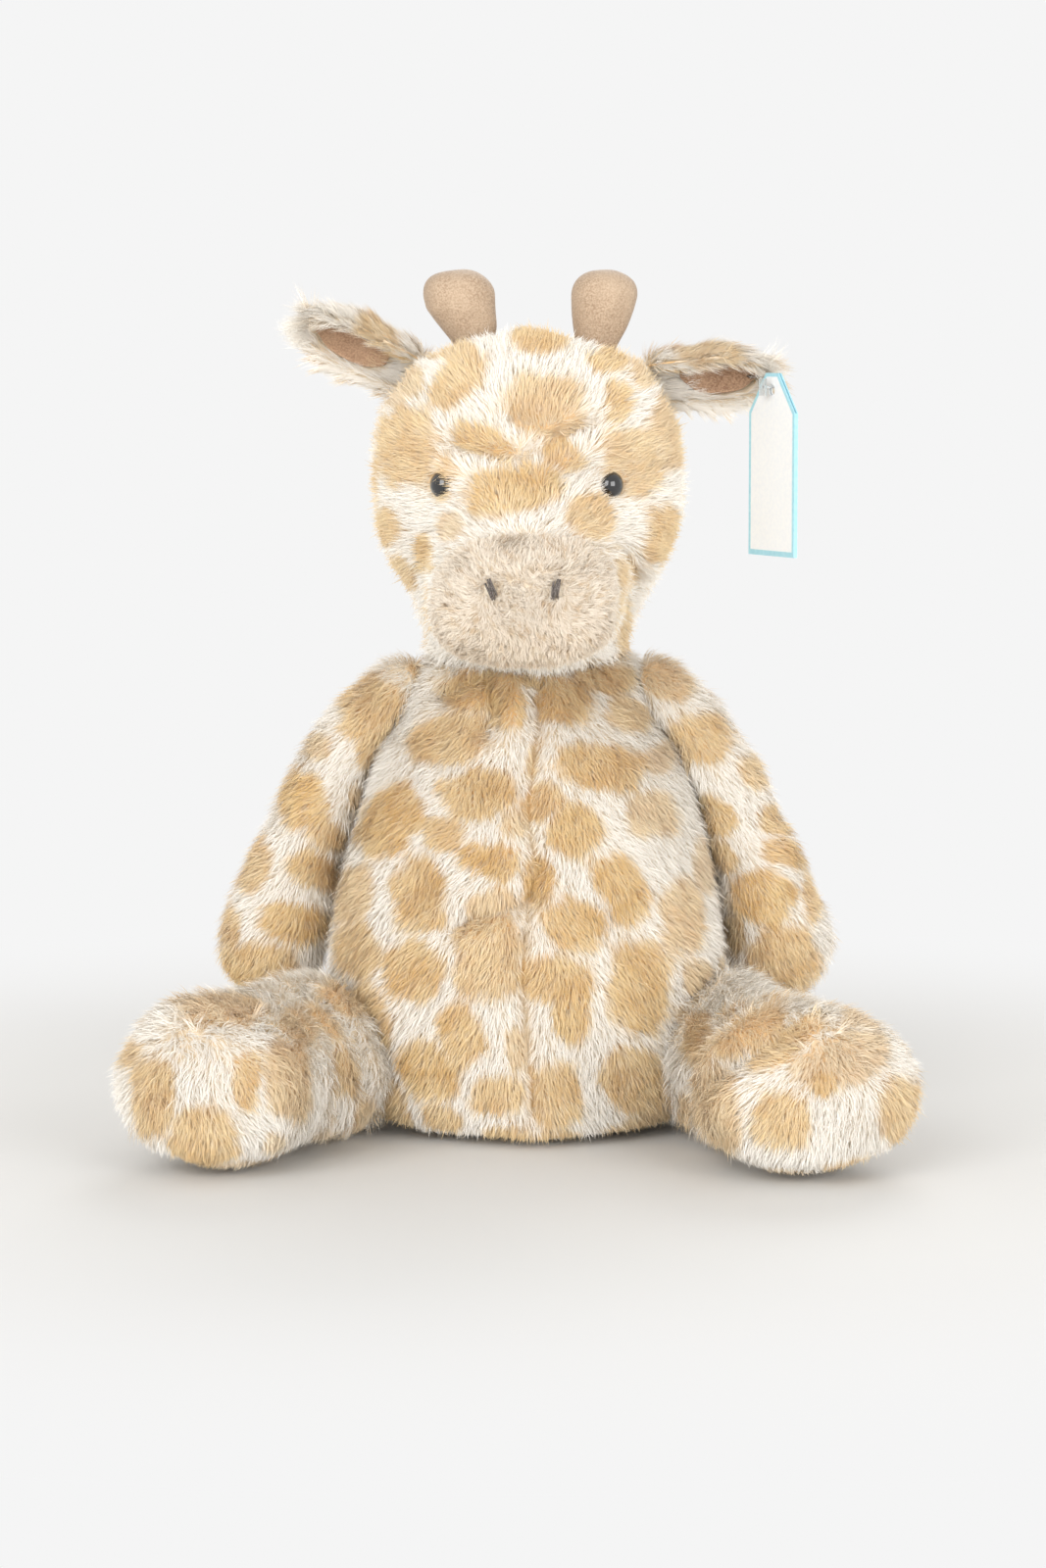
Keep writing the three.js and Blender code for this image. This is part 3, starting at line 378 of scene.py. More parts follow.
EAR_SPOTS = {
    "right": ((388, 349, 46, 56, 20, 0.8),),
    "left": ((715, 361, 64, 22, 0, 0.7),),
}
NO_SPOTS = ()
FAINT = 0.4  # strength of the faintest patches away from the front
BLUNT = 2.6  # shape of a front spot: 2 is an ellipse, and more is nearer to a rectangle
PATCH_END, PATCH_FULL = 14 * MM, 10 * MM  # from a patch's middle
LINE_PALE, LINE_END = 1.3 * MM, 3.0 * MM  # from the middle of the pale line between two patches


def front_spots(points, table):
    """How strongly the listed front spots colour each point, from 0 to 1."""
    value = np.zeros(len(points))
    if not table:
        return value
    places = picture_places(points)
    ragged = 0.13 * waves(points, 13 * MM, 11) + 0.08 * waves(points, 4 * MM, 12)
    for across, down, width, height, lean, strength in table:
        angle = math.radians(lean)
        x = places[:, 0] - across
        y = places[:, 1] - down
        along = (x * math.cos(angle) + y * math.sin(angle)) / (width / 2)
        over = (y * math.cos(angle) - x * math.sin(angle)) / (height / 2)
        round_off = (np.abs(along) ** BLUNT + np.abs(over) ** BLUNT) ** (1 / BLUNT)
        value = np.maximum(value, strength * smooth_step(1.22, 0.86, round_off + ragged))
    return value


def cell_spots(points, seeds):
    """The giraffe's patches away from the front: rounded cells with soft pale lines between them."""
    wobble = np.column_stack([waves(points, 17 * MM, 21 + k) for k in range(3)]) * 1.6 * MM
    places = points + wobble
    nearest = np.full(len(points), np.inf)
    second = np.full(len(points), np.inf)
    owner = np.zeros(len(points), int)
    for k, seed in enumerate(seeds):
        far = np.linalg.norm(places - seed, axis=1)
        closer = far < nearest
        second = np.where(closer, nearest, np.minimum(second, far))
        owner = np.where(closer, k, owner)
        nearest = np.where(closer, far, nearest)
    edge = (second - nearest) / 2
    strength = np.where(owner % 11 == 4, FAINT, 0.78 + 0.2 * np.sin(owner * 2.4))
    round_off = smooth_step(PATCH_END, PATCH_FULL, nearest)
    return strength * smooth_step(LINE_PALE, LINE_END, edge) * round_off


def spots_at(points, normals, table, seeds):
    facing = unit(np.array(CAMERA_PLACE) - points)
    front = smooth_step(0.0, 0.1, (normals * facing).sum(axis=1))
    return front * front_spots(points, table) + (1 - front) * cell_spots(points, seeds)


# ---- pile ---------------------------------------------------------------------------------------------------

MOST_STRANDS = 64000  # in one piece, three triangles each
CREASE_BARE, CREASE_REACH = 0.9 * MM, 3.4 * MM  # without pile beside a crease, and with shorter pile
ROOM = 13 * MM  # pile with this much room above it stands at its full length
PILE_FLOOR = 0.3 * MM


def scattered(obj, count, rng):
    """Random points on a mesh, even by area, with the skin's normals there."""
    mesh = obj.data
    mesh.calc_loop_triangles()
    corners = np.empty(len(mesh.loop_triangles) * 3, np.int32)
    mesh.loop_triangles.foreach_get("vertices", corners)
    corners = corners.reshape(-1, 3)
    places, normals = vertex_places(obj), vertex_normals(obj)
    a, b, c = (places[corners[:, k]] for k in range(3))
    area = np.linalg.norm(np.cross(b - a, c - a), axis=1) / 2
    total = np.cumsum(area)
    if count is None:
        return total[-1]
    pick = np.minimum(np.searchsorted(total, rng.random(count) * total[-1]), len(area) - 1)
    u, v = rng.random(count), rng.random(count)
    over = u + v > 1
    u, v = np.where(over, 1 - u, u), np.where(over, 1 - v, v)
    weights = np.column_stack([1 - u - v, u, v])[:, :, None]
    chosen = corners[pick]
    return (places[chosen] * weights).sum(axis=1), unit((normals[chosen] * weights).sum(axis=1))


def thinned(points, spacing):
    """Indices of points that lie about one spacing apart: one to each cell of a grid."""
    cells = np.floor(points / spacing).astype(np.int64)
    key = cells[:, 0] * 73856093 ^ cells[:, 1] * 19349663 ^ cells[:, 2] * 83492791
    return np.sort(np.unique(key, return_index=True)[1])


def room_above(points, normals, trees, reach):
    """How far each point can see along its normal before another body's skin is met."""
    room = np.full(len(points), reach)
    for tree in trees:
        for k, (point, normal) in enumerate(zip(points, normals)):
            start = Vector(point - normal * 0.3 * MM)
            hit = tree.ray_cast(start, Vector(normal), reach)
            if hit[0] is not None:
                inside = hit[1].dot(Vector(normal)) > 0
                room[k] = 0 if inside else min(room[k], hit[3])
    return room


def strands_mesh(name, roots, middles, tips, half_widths, side, values):
    """A mesh of tapered strands: a flat quad from root to middle and a triangle to the tip, each with a small
    square of its own on a UV map."""
    count = len(roots)
    wide = side * half_widths[:, None]
    places = np.empty((count, 5, 3))
    places[:, 0], places[:, 1] = roots - wide, roots + wide
    places[:, 2], places[:, 3] = middles + wide * 0.9, middles - wide * 0.9
    places[:, 4] = tips
    first = np.arange(count) * 5
    loops = np.empty((count, 7), np.int32)
    for column, corner in enumerate((0, 1, 2, 3, 3, 2, 4)):
        loops[:, column] = first + corner
    starts = np.empty((count, 2), np.int32)
    starts[:, 0] = np.arange(count) * 7
    starts[:, 1] = starts[:, 0] + 4
    mesh = bpy.data.meshes.new(name)
    mesh.vertices.add(count * 5)
    mesh.vertices.foreach_set("co", places.astype(np.float32).ravel())
    mesh.loops.add(count * 7)
    mesh.loops.foreach_set("vertex_index", loops.ravel())
    mesh.polygons.add(count * 2)
    mesh.polygons.foreach_set("loop_start", starts.ravel())
    grid = math.ceil(math.sqrt(count))
    cell = 1 / grid
    corner_places = np.array([(0.1, 0.1), (0.9, 0.1), (0.9, 0.5), (0.1, 0.5), (0.1, 0.5), (0.9, 0.5), (0.5, 0.95)])
    origin = np.column_stack([np.arange(count) % grid, np.arange(count) // grid]) * cell
    uv = mesh.uv_layers.new(name="OFBake")
    uv.data.foreach_set("uv", (origin[:, None, :] + corner_places[None] * cell).astype(np.float32).ravel())
    along = mesh.attributes.new("along", "FLOAT", "POINT")
    along.data.foreach_set("value", np.tile(np.array([0, 0, 0.5, 0.5, 1], np.float32), count))
    for key, value in values.items():
        attribute = mesh.attributes.new(key, "FLOAT", "POINT")
        attribute.data.foreach_set("value", np.repeat(value.astype(np.float32), 5))
    mesh.update()
    obj = bpy.data.objects.new(name, mesh)
    bpy.context.scene.collection.objects.link(obj)
    return obj


def leg_ahead(side_name):
    """The way that a leg points, from the hip to the toe."""
    splay = LEG_SPLAY[side_name]
    return np.array([dict(SIDES)[side_name] * math.sin(splay), -math.cos(splay), 0])


def carry(obj, body):
    """Rides on its body, through the body's empty; a leg's piece is baked where it stands instead, with no parent."""
    limb, _, side_name = body.partition("_")
    if limb == "leg":
        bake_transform(obj)
    else:
        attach(obj, body)


def grow_pile(name, skin, coat, finish, body, trees=(), seed=1):
    """Covers a skin with strands that lean on tuft heads. The coat gives the strands per square millimetre, their
    length, half width, lift and comb, the tufts' spacing and pull, and where there are none."""
    rng = np.random.default_rng(seed)
    area = scattered(skin, None, rng) / MM**2
    roots, normals = scattered(skin, int(area * coat["density"]), rng)
    keep = coat["grows"](roots, normals)
    for path in coat["creases"]:
        if path:
            keep &= distance_to_path(roots, path) > CREASE_BARE
    roots, normals = roots[keep], normals[keep]
    tufts = thinned(roots, coat["tuft"])
    heads, head_normals = roots[tufts], normals[tufts]
    tree = KDTree(len(heads))
    for k, place in enumerate(heads):
        tree.insert(place, k)
    tree.balance()
    owner = np.fromiter((tree.find(place)[1] for place in roots), int, len(roots))
    room = room_above(heads, head_normals, trees, ROOM)

    flow = coat["comb"](heads, head_normals) + rng.normal(size=heads.shape) * coat["tangle"]
    flow = unit(flow - head_normals * (flow * head_normals).sum(axis=1, keepdims=True))
    swirl = waves(heads, 24 * MM, seed + 50) * coat["swirl"]
    turned = np.cross(head_normals, flow)
    flow = flow * np.cos(swirl)[:, None] + turned * np.sin(swirl)[:, None]
    long = coat["length"](heads, head_normals) * rng.uniform(0.86, 1.1, len(heads))
    squeezed = np.clip(room / ROOM, 0, 1)
    folded = np.zeros(len(heads))
    for path in coat["creases"]:
        if len(path) > 1:
            folded = np.maximum(folded, np.exp(-((distance_to_path(heads, path) / CREASE_REACH) ** 2)))
    long = long * np.clip(0.45 + 0.85 * squeezed, 0.45, 1) * (1 - 0.7 * folded)
    lift = coat["lift"] * np.clip(0.3 + squeezed, 0.3, 1) * (1 - 0.4 * folded)

    def bent(start, normal, direction, length, rise):
        half = (length * 0.5)[:, None]
        middle = start + (normal * (rise * 1.15)[:, None] + direction * (1 - rise * 0.55)[:, None]) * half
        tip = middle + (normal * (rise * 0.45)[:, None] + direction) * half
        return middle, tip

    head_middles, head_tips = bent(heads, head_normals, flow, long, lift)
    direction = unit(flow[owner] + rng.normal(size=roots.shape) * coat["stray"])
    length = long[owner] * rng.uniform(0.8, 1.12, len(roots))
    rise = lift[owner] * rng.uniform(0.8, 1.2, len(roots))
    middles, tips = bent(roots, normals, direction, length, rise)
    pull = coat["pull"] * rng.uniform(0.5, 1.2, len(roots))[:, None]
    middles += (head_middles[owner] - middles) * pull * 0.45
    tips += (head_tips[owner] - tips) * pull
    if coat["curl"]:
        curl = unit(np.cross(normals, rng.normal(size=roots.shape)))
        middles += curl * coat["curl"] * rng.uniform(0.3, 1, len(roots))[:, None]
    for part in (middles, tips):
        part[:, 2] = np.maximum(part[:, 2], PILE_FLOOR)
    along = unit(tips - roots)
    side = unit(np.cross(along, normals + rng.normal(size=roots.shape) * 0.24))
    values = coat["values"](roots * 0.45 + middles * 0.55, normals)
    # Painted shade: pile in a crease, or crowded by another body, is coloured tan through the spot attribute, as if
    # shaded.
    painted_shade = np.maximum(folded, 0.8 * smooth_step(0.75, 0.1, squeezed))[owner]
    values["spot"] = np.maximum(values["spot"], coat["fold_tint"] * painted_shade)
    values["shade"] = np.clip(rng.normal(0.5, 0.2, len(roots)) + 0.16 * rng.normal(size=len(heads))[owner], 0, 1)
    half = coat["width"] * rng.uniform(0.75, 1.2, len(roots))

    split = max(1, math.ceil(len(roots) / MOST_STRANDS))
    middle = roots.mean(axis=0)
    angle = np.arctan2(roots[:, 0] - middle[0], middle[1] - roots[:, 1])
    order = np.argsort(angle, kind="stable")
    for k, part in enumerate(np.array_split(order, split)):
        piece_name = f"{name}_{k + 1}" if split > 1 else name
        chosen = {key: value[part] for key, value in values.items()}
        shape = (roots[part], middles[part], tips[part], half[part], side[part])
        piece = strands_mesh(piece_name, *shape, chosen)
        piece.data.materials.append(finish)
        carry(piece, body)


# ---- finishes -----------------------------------------------------------------------------------------------


def new_finish(name):
    finish = bpy.data.materials.new(name)
    finish.use_nodes = True
    tree = finish.node_tree
    shader = tree.nodes["Principled BSDF"]
    return finish, tree, shader


def add_node(tree, kind, **settings):
    node = tree.nodes.new(kind)
    for key, value in settings.items():
        if key in node.inputs:
            node.inputs[key].default_value = value
        else:
            setattr(node, key, value)
    return node


def feed(tree, socket, value):
    """Links a socket, or sets it where the value is a constant."""
    if isinstance(value, bpy.types.NodeSocket):
        tree.links.new(value, socket)
    else:
        socket.default_value = value


def mixed(tree, factor, low, high, blend="MIX"):
    """A colour mix, where each input is a socket or a constant."""
    node = add_node(tree, "ShaderNodeMix", data_type="RGBA", blend_type=blend)
    for k, value in ((0, factor), (6, low), (7, high)):
        feed(tree, node.inputs[k], value)
    return node.outputs[2]


def sum_of(tree, operation, first, second):
    """Arithmetic on two values, where each is a socket or a number."""
    node = add_node(tree, "ShaderNodeMath", operation=operation)
    feed(tree, node.inputs[0], first)
    feed(tree, node.inputs[1], second)
    return node.outputs[0]


def ranged(tree, value, low, high, out_low=0.0, out_high=1.0, smooth=True):
    node = tree.nodes.new("ShaderNodeMapRange")
    node.interpolation_type = "SMOOTHSTEP" if smooth else "LINEAR"
    tree.links.new(value, node.inputs[0])
    for k, number in enumerate((low, high, out_low, out_high)):
        node.inputs[k + 1].default_value = number
    return node.outputs[0]


def attribute(tree, name):
    return add_node(tree, "ShaderNodeAttribute", attribute_name=name).outputs["Fac"]


def grain(tree, scale, detail=3.0, stretch=None):
    """Noise on Object coordinates; scale counts its waves to a metre."""
    coordinates = tree.nodes.new("ShaderNodeTexCoord").outputs["Object"]
    if stretch is not None:
        mapping = add_node(tree, "ShaderNodeMapping", Scale=stretch)
        tree.links.new(coordinates, mapping.inputs[0])
        coordinates = mapping.outputs[0]
    noise = add_node(tree, "ShaderNodeTexNoise", Scale=scale, Detail=detail)
    tree.links.new(coordinates, noise.inputs["Vector"])
    return noise.outputs[0]


def bump(tree, shader, height, strength, distance):
    node = add_node(tree, "ShaderNodeBump", Strength=strength, Distance=distance)
    tree.links.new(height, node.inputs["Height"])
    tree.links.new(node.outputs[0], shader.inputs["Normal"])


def colour(hex_value):
    """A written colour, such as F6F0E8, as the linear values that a shader takes."""
    parts = [int(hex_value[k : k + 2], 16) / 255 for k in (0, 2, 4)]
    return (*[p / 12.92 if p <= 0.04045 else ((p + 0.055) / 1.055) ** 2.4 for p in parts], 1)


def pile_finish(name, pale, warm, deep, root_share):
    """Pile whose spots are coloured from the tips down, with paler roots, and whose pale ground is painted warmer
    towards the roots as shade between the strands.
    """
    finish, tree, shader = new_finish(name)
    along = attribute(tree, "along")
    shade = attribute(tree, "shade")
    # The spot attribute holds the spots and, in the pile, also painted shade at creases and where bodies meet.
    dye_and_crease_shade = sum_of(tree, "MULTIPLY", attribute(tree, "spot"), ranged(tree, along, 0.0, 0.75, root_share, 1.0))
    patchy = ranged(tree, grain(tree, 90, 2.0), 0.35, 0.7)
    spot_colour = mixed(tree, patchy, warm, deep)
    # The pale ground turns warm towards the roots: painted shade between the strands.
    ground = mixed(tree, ranged(tree, along, 0.0, 0.6, 0.36, 0.0), pale, warm)
    base = mixed(tree, dye_and_crease_shade, ground, spot_colour)
    lit = mixed(tree, ranged(tree, shade, 0.0, 1.0, 0.0, 1.0, False), (0.955, 0.945, 0.93, 1), (1.0, 1.0, 1.0, 1))
    base = mixed(tree, 1.0, base, lit, "MULTIPLY")
    tree.links.new(base, shader.inputs["Base Color"])
    tree.links.new(ranged(tree, shade, 0, 1, 0.72, 0.9, False), shader.inputs["Roughness"])
    shader.inputs["Specular IOR Level"].default_value = 0.25
    shader.inputs["Sheen Weight"].default_value = 0.25
    shader.inputs["Sheen Roughness"].default_value = 0.5
    return finish


def backing_finish(name, pale, warm):
    """The knitted ground that the pile grows from."""
    finish, tree, shader = new_finish(name)
    knit = grain(tree, 900, 2.0, (1, 1, 1.6))
    base = mixed(tree, attribute(tree, "spot"), pale, warm)
    base = mixed(tree, ranged(tree, knit, 0.3, 0.7, 0.0, 0.35), base, mixed(tree, 0.5, base, warm))
    tree.links.new(base, shader.inputs["Base Color"])
    tree.links.new(ranged(tree, knit, 0.3, 0.7, 0.85, 0.95), shader.inputs["Roughness"])
    bump(tree, shader, knit, 0.5, 0.0006)
    shader.inputs["Sheen Weight"].default_value = 0.2
    return finish


def suede_finish(name, light, dark, nap):
    """Brushed suede cloth: a fine nap, mottled where it was stroked both ways."""
    finish, tree, shader = new_finish(name)
    fine = grain(tree, nap, 4.0)
    broad = grain(tree, 110, 3.0, (1, 1, 0.6))
    base = mixed(tree, ranged(tree, fine, 0.32, 0.68), dark, light)
    base = mixed(tree, ranged(tree, broad, 0.35, 0.7, 0.0, 0.4), base, light)
    tree.links.new(base, shader.inputs["Base Color"])
    tree.links.new(ranged(tree, fine, 0.3, 0.7, 0.82, 0.95), shader.inputs["Roughness"])
    bump(tree, shader, fine, 0.55, 0.0007)
    shader.inputs["Sheen Weight"].default_value = 0.35
    shader.inputs["Sheen Roughness"].default_value = 0.4
    shader.inputs["Specular IOR Level"].default_value = 0.2
    return finish


def plastic_finish(name, light, dark, roughness, coat=0.0, clear=0.0):
    finish, tree, shader = new_finish(name)
    mottle = grain(tree, 300, 2.0)
    tree.links.new(mixed(tree, ranged(tree, mottle, 0.3, 0.7), dark, light), shader.inputs["Base Color"])
    tree.links.new(ranged(tree, mottle, 0.3, 0.7, roughness, roughness + 0.04), shader.inputs["Roughness"])
    shader.inputs["Coat Weight"].default_value = coat
    shader.inputs["Coat Roughness"].default_value = 0.04
    shader.inputs["Transmission Weight"].default_value = clear
    return finish


def thread_finish(name, light, dark):
    finish, tree, shader = new_finish(name)
    ply = grain(tree, 2600, 2.0, (1, 0.35, 1))
    tree.links.new(mixed(tree, ranged(tree, ply, 0.3, 0.7), dark, light), shader.inputs["Base Color"])
    tree.links.new(ranged(tree, ply, 0.3, 0.7, 0.7, 0.9), shader.inputs["Roughness"])
    bump(tree, shader, ply, 0.6, 0.0003)
    return finish


TAG_LENGTH, TAG_WIDTH, TAG_SHOULDER, TAG_TOP = 65 * MM, 30 * MM, 14 * MM, 8 * MM
TAG_TURN = math.radians(60)
BORDER, LOW_BORDER = 1.3 * MM, 1.9 * MM


def card_finish():
    """Smooth white card with a plain pale blue border along its edges."""
    finish, tree, shader = new_finish("bordered_card")
    low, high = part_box("hang_tag")
    place = tree.nodes.new("ShaderNodeTexCoord").outputs["Object"]

    def measure(direction, start):
        dot = add_node(tree, "ShaderNodeVectorMath", operation="DOT_PRODUCT")
        tree.links.new(place, dot.inputs[0])
        dot.inputs[1].default_value = direction
        return sum_of(tree, "SUBTRACT", dot.outputs["Value"], start)

    middle = (low + high) / 2
    across = Vector((math.cos(TAG_TURN), -math.sin(TAG_TURN), 0))
    side = sum_of(tree, "SUBTRACT", TAG_WIDTH / 2, sum_of(tree, "ABSOLUTE", measure(across, across.dot(middle)), 0.0))
    top = sum_of(tree, "SUBTRACT", high.z, measure((0, 0, 1), 0.0))
    below_shoulder = sum_of(tree, "SUBTRACT", top, TAG_SHOULDER)
    run = (TAG_WIDTH - TAG_TOP) / 2
    slope = math.hypot(run, TAG_SHOULDER)
    corner = sum_of(tree, "ADD", sum_of(tree, "MULTIPLY", side, TAG_SHOULDER / slope),
                    sum_of(tree, "MULTIPLY", below_shoulder, run / slope))
    edge = sum_of(tree, "MINIMUM", sum_of(tree, "MINIMUM", side, top), corner)
    foot = sum_of(tree, "SUBTRACT", measure((0, 0, 1), low.z), LOW_BORDER - BORDER)
    edge = sum_of(tree, "MINIMUM", edge, foot)
    pulp = ranged(tree, grain(tree, 700, 3.0), 0.35, 0.65)
    white = mixed(tree, pulp, colour("F3F7FA"), colour("F8FBFC"))
    blue = mixed(tree, pulp, colour("A4DAE9"), colour("AFE0ED"))
    inside = ranged(tree, edge, BORDER - 0.1 * MM, BORDER + 0.1 * MM)
    tree.links.new(mixed(tree, inside, blue, white), shader.inputs["Base Color"])
    shader.inputs["Roughness"].default_value = 0.45
    return finish


PALE = colour("FFFBF4")
WARM = colour("EFD4A0")
DEEP = colour("E0BA7B")
plush = pile_finish("cream_plush_pile", PALE, WARM, DEEP, 0.35)
# The backings' pale colours are warmer than their piles': painted shade where the backing shows between the strands.
backing = backing_finish("cream_plush_backing", colour("F6E6CC"), colour("E8C28C"))
curly = pile_finish("muzzle_pile", colour("F8EFE2"), colour("E3D0B5"), colour("CEB390"), 0.6)
curly_backing = backing_finish("muzzle_backing", colour("F3E7D4"), colour("DCC6A5"))
horn_suede = suede_finish("horn_suede", colour("CDB69D"), colour("A98F77"), 1500)
ear_suede = suede_finish("ear_suede", colour("BC9C80"), colour("91715A"), 1500)
eye_gloss = plastic_finish("eye_gloss", colour("0C0A09"), colour("050404"), 0.04, coat=1.0)
white_plastic = plastic_finish("washer_plastic", colour("F2F2EF"), colour("E6E6E2"), 0.35)
clear_plastic = plastic_finish("clear_fastener", colour("F4F7F8"), colour("E9EEF0"), 0.12, clear=0.75)
grey_thread = thread_finish("grey_thread", colour("857C76"), colour("3F3935"))
cream_thread = thread_finish("cream_thread", colour("F0E6D6"), colour("CDBFAB"))
bag_cloth = suede_finish("bag_cloth", colour("E4E0D8"), colour("C9C4BA"), 1800)

place_camera()

# ---- the stuffed skins --------------------------------------------------------------------------------------

# Seams, creases and folds, as paths in pixels of the picture.
TORSO_SEAM = (
    (543, 700), (546, 740), (545, 775), (540, 815), (541, 850), (548, 880), (543, 915), (536, 950), (535, 1000),
    (537, 1050), (541, 1090), (543, 1130), (540, 1168),
)
TORSO_CREASE = ((468, 940), (490, 932), (515, 925), (541, 913))
TORSO_TUCKS = (
    ((430, 715), (455, 708), (480, 700)),
    ((385, 1105), (400, 1140), (422, 1168)),
    ((500, 690), (505, 715), (500, 740)),
)
TORSO_DEPTHS = (3.2, 5, 2.4, 4.5, 4, 4.5)  # of the seam, the crease, the back seam and the tucks, in millimetres
LEG_FOLDS = {
    "right": (((300, 1022), (322, 1050), (336, 1090), (338, 1130), (330, 1170)),
              ((318, 1018), (345, 1050), (360, 1095), (360, 1140))),
    "left": (((780, 1035), (745, 1058), (722, 1085), (706, 1130), (712, 1175)),
             ((800, 1060), (765, 1080), (735, 1100), (722, 1140))),
}
HEAD_FOLDS = (
    ((604, 552), (620, 559), (638, 572), (644, 590)),
    ((646, 600), (649, 630), (643, 662)),
    ((520, 436), (545, 445), (575, 447), (600, 440)),
    ((466, 462), (500, 471), (534, 474), (562, 459), (590, 441)),
)
# How wide each kind of seam or fold is pressed, and how deep.
TORSO_GROOVE = 3.3 * MM
LEG_GROOVE, LEG_DEPTH = 4 * MM, 5.5 * MM
HEAD_GROOVE, HEAD_DEPTH = 2.8 * MM, 3.4 * MM
MUZZLE_GROOVE, MUZZLE_DEPTH = 2.6 * MM, 1.6 * MM
HORN_SEAT, HORN_SEAT_DEPTH = 17 * MM, 4.6 * MM
# Soft rises at the left shoulder, mirrored for the right one: place, reach and height in millimetres.
ARM_RISE = ((50, 0, 164), 16, 2.4)
TORSO_RISES = (((40, 0, 168), 16, 6), ((52, 4, 141), 19, 3.2))
MUZZLE_SEAM = -70.2 * MM
TORSO_INSET, HEAD_INSET, ARM_INSET, LEG_INSET = 4.1 * MM, 4.0 * MM, 2.3 * MM, 3.6 * MM
SEAT = 2.6 * MM  # from the floor to the skin of what sits on it

NECK = np.array([0, 0, 140 * MM])  # middle of the ball that the head turns on
NECK_FIT = 44.2 * MM  # from there to the head's underside


def fit_neck(obj):
    """Brings the head's underside down on the ball of the neck, so that no gap opens when the head nods."""
    places, normals = vertex_places(obj), vertex_normals(obj)
    offset = places - NECK
    far = np.linalg.norm(offset, axis=1)
    facing = (normals * offset).sum(axis=1) / far
    share = smooth_step(0.0, -0.5, facing) * smooth_step(57 * MM, 52 * MM, far)
    set_places(obj, NECK + offset * (1 + (NECK_FIT / far - 1) * share)[:, None])


torso_nodes = ("torso_cover", "torso_stuffing", "seat_bean_bag")
torso = stuffed_body("torso_plush", torso_nodes, TORSO_INSET, 2 * MM, floor=SEAT)
head_nodes = (
    "head_cover", "head_stuffing", "muzzle_panel", "eye_left", "eye_right", "eye_washer_left", "eye_washer_right",
)
head = stuffed_body("head_plush", head_nodes, HEAD_INSET, 2 * MM)
fit_neck(head)
arms, legs = {}, {}
for side_name, _ in SIDES:
    nodes = (f"arm_cover_{side_name}", f"arm_stuffing_{side_name}")
    arms[side_name] = stuffed_body(f"arm_plush_{side_name}", nodes, ARM_INSET, 1.6 * MM, 3.6 * MM)
    nodes = (f"leg_cover_{side_name}", f"leg_stuffing_{side_name}")
    legs[side_name] = stuffed_body(f"leg_plush_{side_name}", nodes, LEG_INSET, 2 * MM, floor=SEAT)

rumple(torso, 52 * MM, 0.9 * MM, 3)
torso_tree = surface_tree(torso)
torso_seam = front_points(torso_tree, TORSO_SEAM)
torso_crease = front_points(torso_tree, TORSO_CREASE)
back_seam = [torso_tree.ray_cast(Vector((0, 0.3, z * MM)), Vector((0, -1, 0)))[0] for z in range(8, 172, 8)]
torso_folds = [torso_seam, torso_crease, back_seam] + [front_points(torso_tree, tuck) for tuck in TORSO_TUCKS]
torso_folds = [
    press(torso, torso_tree, fold, TORSO_GROOVE, depth * MM) for fold, depth in zip(torso_folds, TORSO_DEPTHS)
]
leg_folds = {}
for side_name, side in SIDES:
    leg = legs[side_name]
    leg_tree = surface_tree(leg)
    leg_folds[side_name] = [front_points(leg_tree, fold) for fold in LEG_FOLDS[side_name]]
    leg_folds[side_name] = [press(leg, leg_tree, fold, LEG_GROOVE, LEG_DEPTH) for fold in leg_folds[side_name]]
    rumple(leg, 34 * MM, 0.8 * MM, 5 + side)
    rumple(arms[side_name], 30 * MM, 0.7 * MM, 8 + side)
    for skin, ((x, y, z), reach, height) in [(arms[side_name], ARM_RISE)] + [(torso, rise) for rise in TORSO_RISES]:
        bulge(skin, (side * x * MM, y * MM, z * MM), reach * MM, height * MM)


def press_muzzle_seam(obj):
    places = vertex_places(obj)
    forward = places @ np.array(turned_about_z(0, 1, 0, HEAD_TURN))
    near = np.exp(-(((forward - MUZZLE_SEAM) / MUZZLE_GROOVE) ** 2))
    set_places(obj, places - vertex_normals(obj) * (MUZZLE_DEPTH * near)[:, None])


def cut_at_muzzle_seam(obj, name, front):
    """A copy of the head on one side of the muzzle's seam, closed where it is cut."""
    part = obj.copy()
    part.data = obj.data.copy()
    part.name = part.data.name = name
    bpy.context.scene.collection.objects.link(part)
    select_only(part)
    bpy.ops.object.mode_set(mode="EDIT")
    bpy.ops.mesh.select_all(action="SELECT")
    bpy.ops.mesh.bisect(
        plane_co=turned_about_z(0, MUZZLE_SEAM, 0, HEAD_TURN),
        plane_no=turned_about_z(0, 1, 0, HEAD_TURN),
        use_fill=True,
        clear_outer=front,
        clear_inner=not front,
    )
    bpy.ops.object.mode_set(mode="OBJECT")
    return part


for node in ("horn_cover_left", "horn_cover_right"):
    low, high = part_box(node)
    bulge(head, ((low.x + high.x) / 2, (low.y + high.y) / 2, low.z), HORN_SEAT, -HORN_SEAT_DEPTH)
head_tree = surface_tree(head)
head_folds = [press(head, head_tree, front_points(head_tree, fold), HEAD_GROOVE, HEAD_DEPTH) for fold in HEAD_FOLDS]
press_muzzle_seam(head)
rumple(head, 40 * MM, 0.6 * MM, 4)
whole_head = head
head = cut_at_muzzle_seam(whole_head, "head_skin", False)
muzzle = cut_at_muzzle_seam(whole_head, "muzzle_skin", True)
bpy.data.objects.remove(whole_head)

